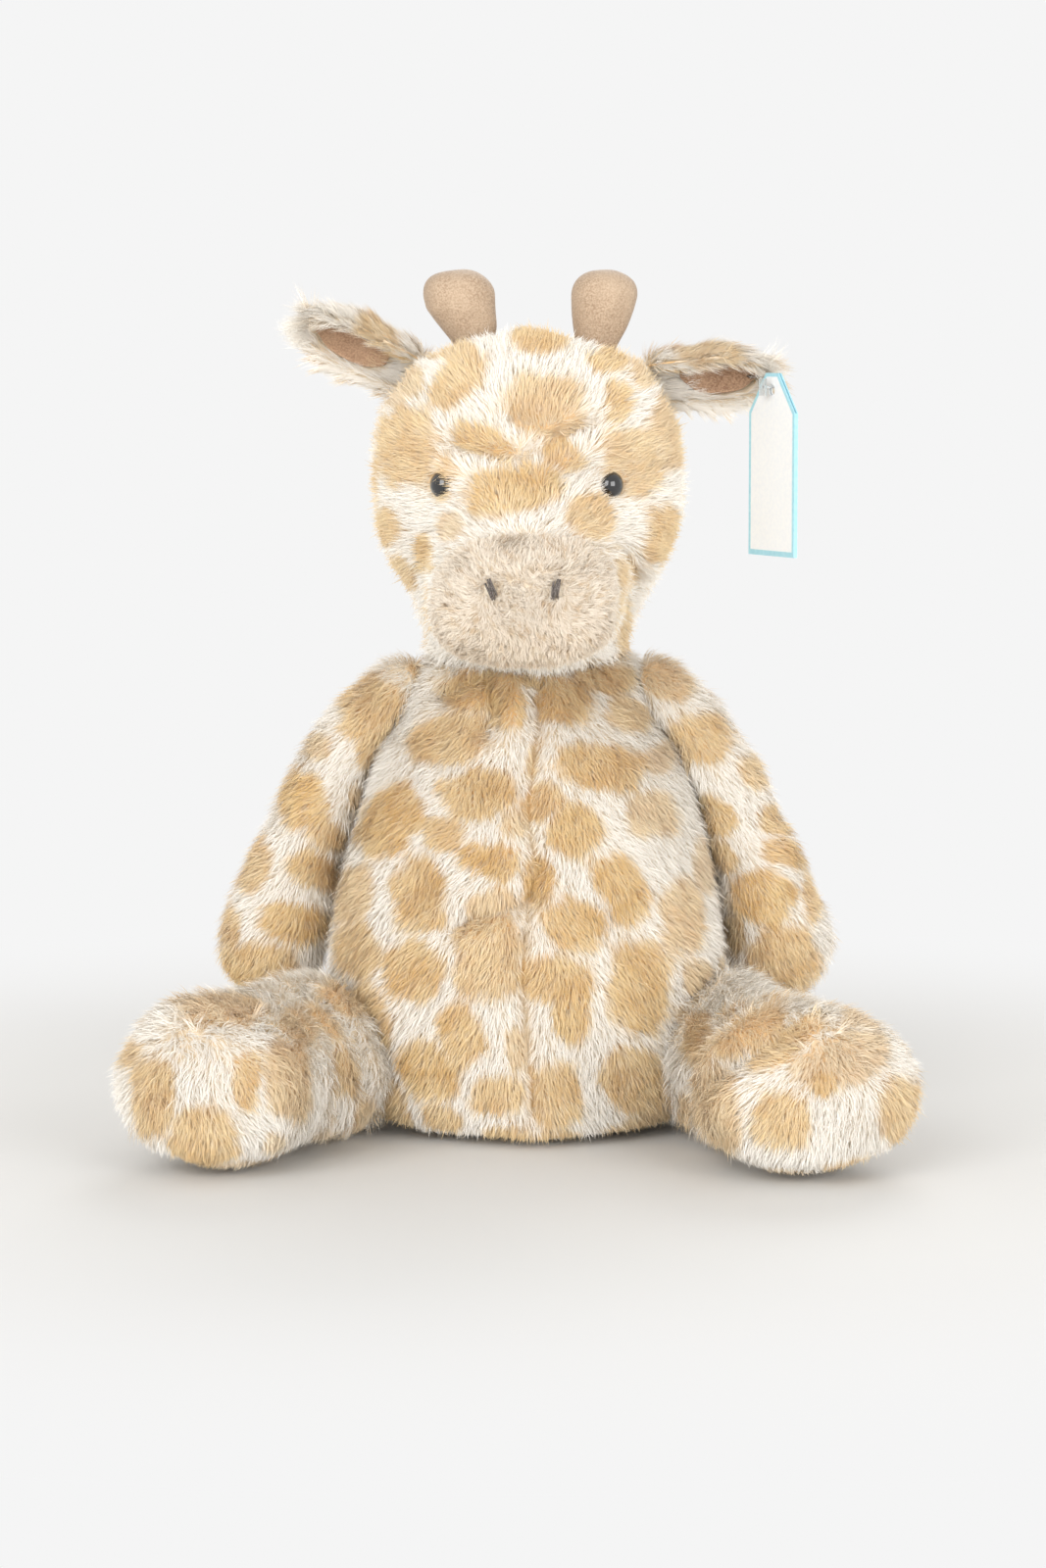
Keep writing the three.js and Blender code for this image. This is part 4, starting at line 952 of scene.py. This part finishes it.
# The horns' edges in pixels of the picture below the widest part of the knob: row, left edge, right edge.
HORN_EDGES = {
    "right": (
        (303, 431, 505), (315, 434, 506), (325, 441.5, 506), (335.5, 450.5, 506), (346, 459, 505), (356, 465, 504),
        (376, 469, 502),
    ),
    "left": (
        (303, 582.5, 650.5), (315, 583, 647.5), (325, 584, 643.5), (335.5, 585, 638.5), (346, 586, 632),
        (356, 588, 627), (376, 591, 623),
    ),
}
HORN_TOP, HORN_FOOT, HORN_CAP = 275, 372, 10  # rows of the top and the foot, and how far the foot rounds off
HORN_SEAM, HORN_DEPTH = 0.3 * MM, 0.96  # depth of the side seams, and front to back as a share of the width


def make_horn(side_name):
    """A stuffed suede horn: round, on the edges that the picture shows, with a seam up each side."""
    low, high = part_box(f"horn_cover_{side_name}")
    depth = (low.y + high.y) / 2
    bpy.ops.object.select_all(action="DESELECT")
    bpy.ops.mesh.primitive_uv_sphere_add(segments=96, ring_count=48, radius=1)
    horn = bpy.context.object
    horn.name = horn.data.name = f"horn_suede_{side_name}"
    ball = vertex_places(horn)
    down = HORN_TOP + (HORN_FOOT - HORN_TOP) * (1 - ball[:, 2]) / 2
    rows, left, right = np.array(HORN_EDGES[side_name], float).T
    fine = np.arange(rows[0] - 20, rows[-1] + 20)
    blur = np.hanning(13) / np.hanning(13).sum()
    edges = [np.convolve(np.interp(fine, rows, edge), blur, "same") for edge in (left, right)]
    left, right = (np.interp(down, fine[6:-6], edge[6:-6]) for edge in edges)
    knob = np.clip((rows[0] - down) / (rows[0] - HORN_TOP), 0, 1)
    foot = np.clip((down - HORN_FOOT + HORN_CAP) / HORN_CAP, 0, 1)
    half = (right - left) / 2 * (1 - knob**2.3) ** (1 / 2.3) * np.sqrt(1 - foot**2)
    around = np.arctan2(ball[:, 1], ball[:, 0])
    seam = np.exp(-((np.sin(around) / 0.07) ** 2))
    places = np.empty_like(ball)
    for k in range(len(ball)):
        ray = view_line((left[k] + right[k]) / 2, down[k])
        reach = (depth - CAMERA_PLACE[1]) / ray.y
        radius = half[k] * reach / FOCAL_PIXELS - HORN_SEAM * seam[k] * (half[k] > 6)
        outwards = Vector((math.cos(around[k]), HORN_DEPTH * math.sin(around[k]), 0))
        places[k] = Vector(CAMERA_PLACE) + ray * reach + outwards * radius
    set_places(horn, places)
    smooth_faces(horn)
    return horn


horns, ears, linings = {}, {}, {}
for side_name, side in SIDES:
    horns[side_name] = make_horn(side_name)
    rumple(horns[side_name], 14 * MM, 0.25 * MM, 31 + side)
    ears[side_name] = stuffed_body(f"ear_plush_{side_name}", (f"ear_back_{side_name}",), 1.9 * MM, 0.4 * MM, 1.5 * MM)
tail = stuffed_body("tail_plush", ("tail_cover",), 2.4 * MM, 0.6 * MM, 1.8 * MM)
tuft = stuffed_body("tail_tuft_plush", ("tail_tuft",), 3.2 * MM, 0.6 * MM, 1.8 * MM, floor=SEAT)
seat_bag = stuffed_body("seat_pellet_bag", ("seat_bean_bag",), 3 * MM, 2 * MM, 3 * MM)
rumple(seat_bag, 9 * MM, 0.5 * MM, 41)


EAR_RISE = {"left": math.radians(3), "right": math.radians(25)}
RAY_START = 30 * MM  # from an ear's lining, for rays back to it
ROOT_REACH, ROOT_TUCK = 12 * MM, 6 * MM  # how much of an ear is its root, and how far the head's pile covers it


def ear_out(side_name, side):
    """The way that an ear points."""
    rise = EAR_RISE[side_name]
    return np.array(turned_about_z(side * math.cos(rise), 0, math.sin(rise), HEAD_TURN))


def make_lining(side_name, side):
    """The suede leaf inside an ear: the CAD form, drawn in towards its ends to a rounded leaf on the same surface."""
    lining = joined_copy(f"ear_suede_{side_name}", (f"ear_lining_{side_name}",))
    bpy.ops.object.mode_set(mode="EDIT")
    bpy.ops.mesh.select_all(action="SELECT")
    bpy.ops.mesh.subdivide(number_cuts=3, smoothness=0.3)
    bpy.ops.object.mode_set(mode="OBJECT")
    places, normals = vertex_places(lining), vertex_normals(lining)
    out = ear_out(side_name, side)
    middle = (places.max(axis=0) + places.min(axis=0)) / 2
    face = np.linalg.svd(places - places.mean(axis=0), full_matrices=False)[2][2]
    across = np.cross(face, out)
    along = (places - middle) @ out
    half = np.abs(along).max()
    leaf = np.sqrt(np.clip(1 - (np.abs(along) / half / 1.02) ** 2.4, 0, 1))
    over = (places - middle) @ across * np.clip(leaf, 0.12, 1)
    depth = (places - middle) @ face
    tree = surface_tree(lining)
    for k in range(len(places)):
        sign = 1 if normals[k] @ face > 0 else -1
        start = middle + along[k] * 0.985 * out + over[k] * across + sign * RAY_START * face
        hit = tree.ray_cast(Vector(start), Vector(-sign * face))[0]
        places[k] = hit if hit is not None else start + (depth[k] - sign * RAY_START) * face
    set_places(lining, places)
    smooth_skin(lining, 2, 0.4)
    smooth_faces(lining)
    return lining


def stretch_root(ear, out):
    """Takes an ear's root in under the pile of the head, where it is sewn on."""
    places = vertex_places(ear)
    reach = places @ out
    root = smooth_step(reach.min() + ROOT_REACH, reach.min(), reach)
    set_places(ear, places - out * (ROOT_TUCK * root)[:, None])


for side_name, side in SIDES:
    linings[side_name] = make_lining(side_name, side)
    stretch_root(ears[side_name], ear_out(side_name, side))

# ---- eyes, nostrils -----------------------------------------------------------------------------------------

EYE_RADIUS, EYE_DOME = 4.75 * MM, 3.8 * MM
EYE_CUT = 0.6 * MM  # the flat back, behind the sphere's middle
EYE_TURN = math.radians(44)


def eye_axis(side):
    return turned_about_z(side * math.sin(EYE_TURN), -math.cos(EYE_TURN), 0, HEAD_TURN)


EYE_DEPTH = {"left": 0.9 * MM, "right": 1.2 * MM}


def make_eye(side_name, side):
    """A glossy domed eye: a sphere cut flat at its back and drawn in to the dome's height, pulled into the plush."""
    out = eye_axis(side)
    places = vertex_places(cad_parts[f"eye_{side_name}"])
    tip = Vector(places[np.argmax(places @ np.array(out))]) - out * EYE_DEPTH[side_name]
    bpy.ops.object.select_all(action="DESELECT")
    bpy.ops.mesh.primitive_uv_sphere_add(segments=40, ring_count=24, radius=EYE_RADIUS)
    eye = bpy.context.object
    eye.name = eye.data.name = f"eye_dome_{side_name}"
    bpy.ops.object.mode_set(mode="EDIT")
    bpy.ops.mesh.select_all(action="SELECT")
    bpy.ops.mesh.bisect(plane_co=(0, 0, -EYE_CUT), plane_no=(0, 0, 1), use_fill=True, clear_inner=True)
    bpy.ops.mesh.select_all(action="SELECT")
    bpy.ops.transform.resize(value=(1, 1, EYE_DOME / EYE_RADIUS))
    bpy.ops.object.mode_set(mode="OBJECT")
    turn = out.to_track_quat("Z", "Y").to_matrix().to_4x4()
    eye.data.transform(Matrix.Translation(tip - out * EYE_DOME) @ turn)
    smooth_faces(eye)
    bpy.ops.object.shade_smooth_by_angle(angle=math.radians(40))
    return eye, tip - out * EYE_DOME


STITCHES, STITCH_LENGTH, THREAD = 4, 5.8 * MM, 0.68 * MM
STITCH_SEAT = 2.6 * MM  # behind the middle of the CAD's stitch
STITCH_SLANT = math.radians(16)


def make_nostril(side_name, side):
    """A nostril: long stitches of thick thread laid side by side, each a loop that dips into the pile."""
    low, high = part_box(f"nostril_stitch_{side_name}")
    middle = (low + high) / 2
    slant = Matrix.Rotation(STITCH_SLANT * side, 4, "Y")
    parts = []
    for k in range(STITCHES):
        bpy.ops.object.select_all(action="DESELECT")
        bpy.ops.mesh.primitive_torus_add(
            major_segments=24, minor_segments=8, major_radius=STITCH_LENGTH / 2, minor_radius=THREAD / 2
        )
        loop = bpy.context.object
        flat = Matrix.Diagonal((1, 0.5, 1, 1))
        upright = Matrix.Rotation(math.pi / 2, 4, "Y")
        across = k - (STITCHES - 1) / 2
        lean = Matrix.Rotation(0.09 * across * (-1) ** k, 4, "Y")
        shift = Matrix.Translation((across * 0.62 * MM, abs(across) * 0.4 * MM, (k % 2 - 0.5) * 1.1 * MM))
        seat = Matrix.Translation(middle + Vector((0, STITCH_SEAT, 0)))
        loop.data.transform(seat @ slant @ shift @ lean @ upright @ flat)
        parts.append(loop)
    for part in parts:
        part.select_set(True)
    bpy.context.view_layer.objects.active = parts[0]
    bpy.ops.object.join()
    stitch = bpy.context.object
    stitch.name = stitch.data.name = f"nostril_thread_{side_name}"
    smooth_faces(stitch)
    return stitch


eyes, eye_seats, nostrils = {}, {}, {}
muzzle_tree = surface_tree(muzzle)
for side_name, side in SIDES:
    eyes[side_name], eye_seats[side_name] = make_eye(side_name, side)
    nostrils[side_name] = make_nostril(side_name, side)


NECK_DRAW = 7.5 * MM


def make_neck_thread():
    """The gathering thread of the neck, drawn in to where the skins meet under the pile."""
    ring = joined_copy("neck_gather_thread", ("neck_seam_thread",))
    places = vertex_places(ring)
    middle = (places.max(axis=0) + places.min(axis=0)) / 2
    reach = np.hypot(places[:, 0] - middle[0], places[:, 1] - middle[1])
    drawn = 1 - NECK_DRAW / reach
    places[:, :2] = middle[:2] + (places[:, :2] - middle[:2]) * drawn[:, None]
    set_places(ring, places)
    smooth_faces(ring)
    return ring


neck_thread = make_neck_thread()

# ---- spots on the skins -------------------------------------------------------------------------------------


def spot_seeds(obj, spacing, seed):
    """The middles of a skin's patches, moved apart until they lie evenly."""
    points, _ = scattered(obj, 5000, np.random.default_rng(seed))
    seeds = points[thinned(points, spacing)]
    for _ in range(4):
        far = np.linalg.norm(points[:, None, :] - seeds[None, :, :], axis=2)
        owner = far.argmin(axis=1)
        groups = [points[owner == k] for k in range(len(seeds))]
        seeds = np.array([group.mean(axis=0) if len(group) else old for group, old in zip(groups, seeds)])
    return seeds


def paint_skin(obj, table, seeds, finish):
    value = spots_at(vertex_places(obj), vertex_normals(obj), table, seeds)
    layer = obj.data.attributes.new("spot", "FLOAT", "POINT")
    layer.data.foreach_set("value", value.astype(np.float32))
    dress(obj.data, finish)


CELL = 26 * MM
seeds = {
    "torso": spot_seeds(torso, CELL, 71),
    "head": spot_seeds(head, CELL, 72),
    "arm_left": spot_seeds(arms["left"], CELL * 0.9, 73),
    "arm_right": spot_seeds(arms["right"], CELL * 0.9, 74),
    "leg_left": spot_seeds(legs["left"], CELL, 75),
    "leg_right": spot_seeds(legs["right"], CELL, 76),
    "ear_left": spot_seeds(ears["left"], CELL, 77),
    "ear_right": spot_seeds(ears["right"], CELL, 78),
    "tail": spot_seeds(tail, CELL * 0.8, 79),
}
paint_skin(torso, TORSO_SPOTS_AND_CHIN_SHADE, seeds["torso"], backing)
paint_skin(head, HEAD_SPOTS, seeds["head"], backing)
for side_name, _ in SIDES:
    paint_skin(arms[side_name], ARM_SPOTS[side_name], seeds[f"arm_{side_name}"], backing)
    paint_skin(legs[side_name], LEG_SPOTS[side_name], seeds[f"leg_{side_name}"], backing)
    paint_skin(ears[side_name], EAR_SPOTS[side_name], seeds[f"ear_{side_name}"], backing)
paint_skin(tail, NO_SPOTS, seeds["tail"], backing)
paint_skin(tuft, NO_SPOTS, seeds["tail"], backing)
paint_skin(muzzle, NO_SPOTS, seeds["head"], curly_backing)

# ---- coats --------------------------------------------------------------------------------------------------

PILE = {"torso": 7.4, "head": 7.2, "muzzle": 3.8, "arm": 7, "leg": 7.4, "ear": 8.4, "tail": 4.6, "tuft": 9}  # mm long
EAR_TIP = 4.4  # millimetres that the pile at an ear's tip is longer
TUFT_TINT = 0.85
TORSO_HALF = 70 * MM


def everywhere(points, normals):
    return np.ones(len(points), bool)


def even(length):
    return lambda points, normals: np.full(len(points), length)


def spotted(table, cells):
    return lambda points, normals: {"spot": spots_at(points, normals, table, cells)}


def coat(comb, length, values, grows=everywhere, **changes):
    made = {
        "density": 2.7,
        "width": 0.14 * MM,
        "lift": 0.6,
        "tuft": 1.7 * MM,
        "pull": 0.14,
        "stray": 0.22,
        "tangle": 0.2,
        "swirl": 0.32,
        "curl": 0,
        "creases": (),
        # strength of the painted shade in creases and where bodies meet
        "fold_tint": 0.8,
        "comb": comb,
        "length": length,
        "values": values,
        "grows": grows,
    }
    return {**made, **changes}


def comb_torso(points, normals):
    outwards = points[:, 0] / TORSO_HALF
    return np.column_stack([outwards * 0.8, np.zeros(len(points)), np.full(len(points), -1.0)])


def seat_length(length):
    """Pile of one length, and half as long underneath, where the toy's weight presses it."""

    def lengths(points, normals):
        under = smooth_step(-0.3, -0.85, normals[:, 2]) * smooth_step(20 * MM, 6 * MM, points[:, 2])
        return (length - 4 * under) * MM

    return lengths


NOSE_BRIDGE = np.array([0, -84 * MM, 226 * MM])
NOSE_TIP = np.array([0, -104 * MM, 205 * MM])
EYE_CLEARING = {"left": 4.9 * MM, "right": 5.2 * MM}  # without pile round an eye
EYE_COVER = {"left": 0.15, "right": 0.78}  # how much of that the nose's side grows over
EYE_TRIM = {"left": 2.2, "right": 1.6}  # millimetres that the pile beside an eye is shorter
SEAM_BARE, NECK_BARE, NOSTRIL_BARE = 0.05 * MM, 0.8 * MM, 2.3 * MM
EYE_NEAR, HORN_NEAR = 14 * MM, 16 * MM  # how far round them the head's pile changes


def comb_head(points, normals):
    away = points - NOSE_BRIDGE
    away[:, 2] += 6 * MM
    behind = smooth_step(-12 * MM, 32 * MM, points[:, 1])[:, None]
    return unit(away) * (1 - behind) + np.array([0, 0.2, -1.0]) * behind


def head_length(points, normals):
    near_muzzle = smooth_step(-46 * MM, -68 * MM, points[:, 1])
    length = PILE["head"] - 1.6 * near_muzzle
    for side_name, _ in SIDES:
        far = np.linalg.norm(points - np.array(eye_seats[side_name]), axis=1)
        length = length - EYE_TRIM[side_name] * smooth_step(12 * MM, 5 * MM, far)
        horn = trees[f"horn_{side_name}"]
        gap = np.array([(horn.find_nearest(Vector(point), HORN_NEAR)[3] or HORN_NEAR) for point in points])
        length = length - 4 * smooth_step(15 * MM, 3 * MM, gap)
    return np.maximum(length, 1.6) * MM


def head_grows(points, normals):
    forward = points @ np.array(turned_about_z(0, 1, 0, HEAD_TURN))
    keep = forward > MUZZLE_SEAM + SEAM_BARE
    for side_name, side in SIDES:
        axis = np.array(eye_axis(side))
        offset = points - np.array(eye_seats[side_name])
        flat = offset - (offset @ axis)[:, None] * axis
        near = np.linalg.norm(offset, axis=1) < EYE_NEAR
        bridge_side = smooth_step(0, 3.5 * MM, -side * flat[:, 0]) * EYE_COVER[side_name]
        clearing = EYE_CLEARING[side_name] * (1 - bridge_side)
        keep &= ~(near & (np.linalg.norm(flat, axis=1) < clearing))
    below = np.linalg.norm(points - NECK, axis=1) < NECK_FIT + NECK_BARE
    return keep & ~below


def muzzle_grows(points, normals):
    forward = points @ np.array(turned_about_z(0, 1, 0, HEAD_TURN))
    keep = forward < MUZZLE_SEAM - SEAM_BARE
    for side_name, _ in SIDES:
        low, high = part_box(f"nostril_stitch_{side_name}")
        middle = (low + high) / 2
        keep &= np.hypot(points[:, 0] - middle.x, points[:, 2] - middle.z) > NOSTRIL_BARE
    return keep


def comb_muzzle(points, normals):
    away = points - NOSE_TIP
    away[:, 2] -= 8 * MM
    return unit(away)


def muzzle_values(points, normals):
    flecks = smooth_step(0.2, 1.1, waves(points, 3.2 * MM, 81, 12)) * 0.9
    low = smooth_step(196 * MM, 176 * MM, points[:, 2]) * 0.3
    return {"spot": np.clip(flecks + low + 0.12, 0, 1)}


def comb_arm(side):
    return lambda points, normals: np.tile(np.array([side * 0.75, 0, -1.0]), (len(points), 1))


SOLE, SOLE_EDGE = 26 * MM, 6 * MM  # back from the toe


def comb_leg(side_name, side):
    """Pile that lies down along the leg, and away from the middle of the sole."""
    ahead = leg_ahead(side_name)
    places = vertex_places(legs[side_name])
    toe = (places @ ahead).max()
    middle = places.mean(axis=0)
    heart = middle + ahead * (toe - middle @ ahead)
    down, outwards = np.array([0, 0, -1.0]), np.array([side * 0.5, 0, 0])

    def comb(points, normals):
        sole = smooth_step(toe - SOLE, toe - SOLE_EDGE, points @ ahead)[:, None]
        away = (points - heart) / SOLE
        return (ahead * 0.35 + outwards + down) * (1 - sole) + (away * 0.6 + down) * sole

    return comb


def comb_ear(side_name, side):
    out = ear_out(side_name, side)
    centre = vertex_places(ears[side_name]).mean(axis=0)

    def comb(points, normals):
        offset = points - centre
        across = offset - (offset @ out)[:, None] * out
        return out + unit(across) * 0.55

    return comb


def ear_length(side_name, side):
    out = ear_out(side_name, side)
    reach = vertex_places(ears[side_name]) @ out

    def lengths(points, normals):
        tip = smooth_step(reach.max() - 20 * MM, reach.max(), points @ out)
        return (PILE["ear"] + EAR_TIP * tip) * MM

    return lengths


def comb_tail(points, normals):
    return np.tile(np.array([0, 0.8, -0.6]), (len(points), 1))


trees = {
    "torso": surface_tree(torso),
    "head": surface_tree(head),
    "muzzle": muzzle_tree,
}
for side_name, _ in SIDES:
    trees[f"arm_{side_name}"] = surface_tree(arms[side_name])
    trees[f"leg_{side_name}"] = surface_tree(legs[side_name])
    trees[f"horn_{side_name}"] = surface_tree(horns[side_name])
    trees[f"ear_{side_name}"] = surface_tree(ears[side_name])
    trees[f"lining_{side_name}"] = surface_tree(linings[side_name])


def others(*names):
    return [trees[name] for name in names]


grow_pile(
    "torso_pile", torso,
    coat(comb_torso, seat_length(PILE["torso"]), spotted(TORSO_SPOTS_AND_CHIN_SHADE, seeds["torso"]), creases=torso_folds),
    plush, "torso",
    others("arm_left", "arm_right", "leg_left", "leg_right", "head", "muzzle"), 101,
)
grow_pile(
    "head_pile", head,
    coat(comb_head, head_length, spotted(HEAD_SPOTS, seeds["head"]), head_grows, swirl=0.4, creases=head_folds,
         # weaker painted shade at the head's folds
         fold_tint=0.4),
    plush, "head",
    others("horn_left", "horn_right", "ear_left", "ear_right", "torso"), 102,
)
grow_pile(
    "muzzle_pile", muzzle,
    coat(comb_muzzle, even(PILE["muzzle"] * MM), muzzle_values, muzzle_grows, density=6.5, width=0.13 * MM,
         lift=0.7, tuft=1.6 * MM, pull=0.22, stray=0.34, tangle=0.45, swirl=1.3, curl=0.4 * MM),
    curly, "head", (), 103,
)
for side_name, side in SIDES:
    grow_pile(
        f"arm_pile_{side_name}", arms[side_name],
        coat(comb_arm(side), even(PILE["arm"] * MM), spotted(ARM_SPOTS[side_name], seeds[f"arm_{side_name}"])),
        plush, f"arm_{side_name}", others("torso", f"leg_{side_name}", "head"), 104 + side,
    )
    grow_pile(
        f"leg_pile_{side_name}", legs[side_name],
        coat(comb_leg(side_name, side), seat_length(PILE["leg"]),
             # weaker painted shade at the legs' folds
             spotted(LEG_SPOTS[side_name], seeds[f"leg_{side_name}"]), creases=leg_folds[side_name], fold_tint=0.4),
        plush, f"leg_{side_name}", others("torso", f"arm_{side_name}"), 107 + side,
    )
    lining_tree = trees[f"lining_{side_name}"]

    def ear_grows(points, normals, tree=lining_tree):
        seen = room_above(points, normals, [tree], 8 * MM)
        return seen > 7.9 * MM

    grow_pile(
        f"ear_pile_{side_name}", ears[side_name],
        coat(comb_ear(side_name, side), ear_length(side_name, side),
             spotted(EAR_SPOTS[side_name], seeds[f"ear_{side_name}"]), ear_grows, density=6.0, width=0.1 * MM,
             lift=0.45, swirl=0.25, pull=0.35, stray=0.14),
        plush, f"ear_{side_name}", others("head"), 110 + side,
    )
grow_pile(
    "tail_pile", tail, coat(comb_tail, even(PILE["tail"] * MM), spotted(NO_SPOTS, seeds["tail"]), lift=0.6),
    plush, "tail", others("torso"), 113,
)
grow_pile(
    "tail_tuft_pile", tuft,
    coat(comb_tail, even(PILE["tuft"] * MM), lambda points, normals: {"spot": np.full(len(points), TUFT_TINT)},
         density=4, lift=0.4),
    plush, "tail", (), 114,
)

# ---- replacing, dressing ------------------------------------------------------------------------------------


def settle(obj, body, slot, *nodes, finish=None, fill=None):
    """Gives a piece its body and hides the CAD nodes that it stands for. The slot is not used, and nor is the fill."""
    if finish is not None:
        dress(obj.data, finish)
    carry(obj, body)
    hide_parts(*nodes)


settle(torso, "torso", "cream_plush", "torso_cover", "torso_stuffing", fill=0.7)
settle(seat_bag, "torso", "bean_cloth", "seat_bean_bag", finish=bag_cloth, fill=0.6)
settle(head, "head", "cream_plush", "head_cover", "head_stuffing", fill=0.75)
settle(muzzle, "head", "curly_plush", "muzzle_panel", fill=0.7)
settle(tail, "tail", "cream_plush", "tail_cover", fill=0.6)
settle(tuft, "tail", "tan_plush", "tail_tuft", fill=0.5)
for side_name, _ in SIDES:
    settle(arms[side_name], f"arm_{side_name}", "cream_plush", f"arm_cover_{side_name}",
           f"arm_stuffing_{side_name}", fill=0.6)
    settle(legs[side_name], f"leg_{side_name}", "cream_plush", f"leg_cover_{side_name}",
           f"leg_stuffing_{side_name}", fill=0.7)
    settle(horns[side_name], f"horn_{side_name}", "horn_suede", f"horn_cover_{side_name}", f"horn_stuffing_{side_name}",
           finish=horn_suede, fill=0.8)
    settle(ears[side_name], f"ear_{side_name}", "cream_plush", f"ear_back_{side_name}", fill=0.2)
    settle(linings[side_name], f"ear_{side_name}", "ear_suede", f"ear_lining_{side_name}", finish=ear_suede)
    settle(eyes[side_name], "head", "black_plastic", f"eye_{side_name}", finish=eye_gloss)
    settle(nostrils[side_name], "head", "grey_thread", f"nostril_stitch_{side_name}", finish=grey_thread)

settle(neck_thread, "neck", "cream_thread", "neck_seam_thread", finish=cream_thread)

for node, finish in (
    ("eye_washer_left", white_plastic), ("eye_washer_right", white_plastic), ("tag_fastener", clear_plastic),
    ("hang_tag", card_finish()),
):
    dress(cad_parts[node].data, finish)

# ---- studio -------------------------------------------------------------------------------------------------


BACKGROUND = colour("F5F5F5")
FLOOR_SIZE, FLOOR_FADE, LAMP_AIM = 12, (0.17, 0.5), Vector((0, 0, 0.15))  # metres


def seen_directly(tree):
    """1 for rays from the camera, and for those that gloss or clear plastic send on."""
    rays = tree.nodes.new("ShaderNodeLightPath").outputs
    glass = sum_of(tree, "MAXIMUM", rays["Is Glossy Ray"], rays["Is Transmission Ray"])
    return sum_of(tree, "MAXIMUM", rays["Is Camera Ray"], glass)


def make_floor():
    """A pale floor that fades into the background away from the toy, and keeps its shadow."""
    bpy.ops.object.select_all(action="DESELECT")
    bpy.ops.mesh.primitive_plane_add(size=FLOOR_SIZE)
    floor = bpy.context.object
    floor.name = floor.data.name = "studio_floor"
    finish, tree, shader = new_finish("studio_paper")
    place = tree.nodes.new("ShaderNodeTexCoord").outputs["Object"]
    base = mixed(tree, ranged(tree, grain(tree, 3, 2.0), 0.3, 0.7), colour("E4E4E3"), colour("E7E7E6"))
    tree.links.new(base, shader.inputs["Base Color"])
    shader.inputs["Roughness"].default_value = 0.9
    reach = add_node(tree, "ShaderNodeVectorMath", operation="LENGTH")
    tree.links.new(place, reach.inputs[0])
    away = ranged(tree, reach.outputs["Value"], *FLOOR_FADE)
    glow = add_node(tree, "ShaderNodeEmission", Color=BACKGROUND, Strength=1.0)
    blend = tree.nodes.new("ShaderNodeMixShader")
    tree.links.new(sum_of(tree, "MULTIPLY", away, seen_directly(tree)), blend.inputs[0])
    tree.links.new(shader.outputs[0], blend.inputs[1])
    tree.links.new(glow.outputs[0], blend.inputs[2])
    tree.links.new(blend.outputs[0], tree.nodes["Material Output"].inputs[0])
    floor.data.materials.append(finish)


def make_sky():
    world = bpy.data.worlds.new("studio_sky")
    world.use_nodes = True
    tree = world.node_tree
    light = tree.nodes["Background"]
    light.inputs[0].default_value = SKY_COLOUR
    light.inputs[1].default_value = SKY
    seen = add_node(tree, "ShaderNodeBackground", Color=BACKGROUND, Strength=1.0)
    blend = tree.nodes.new("ShaderNodeMixShader")
    tree.links.new(seen_directly(tree), blend.inputs[0])
    tree.links.new(light.outputs[0], blend.inputs[1])
    tree.links.new(seen.outputs[0], blend.inputs[2])
    tree.links.new(blend.outputs[0], tree.nodes["World Output"].inputs[0])
    bpy.context.scene.world = world


SKY, SKY_COLOUR = 0.62, (1, 0.975, 0.935, 1)
LAMPS = (("key_lamp", (-0.9, -1.9, 0.9), 1.4, 29), ("fill_lamp", (1.3, -1.9, 0.55), 1.4, 26),
         ("back_lamp", (0.5, 2.2, 1.7), 1.6, 24))


def make_lamps():
    for name, place, size, power in LAMPS:
        bpy.ops.object.select_all(action="DESELECT")
        bpy.ops.object.light_add(type="AREA", location=place)
        lamp = bpy.context.object
        lamp.name = name
        lamp.data.size = size
        lamp.data.energy = power
        aim = LAMP_AIM - Vector(place)
        lamp.rotation_euler = aim.to_track_quat("-Z", "Y").to_euler()


make_floor()
make_sky()
make_lamps()
bpy.context.scene.view_settings.view_transform = "Standard"
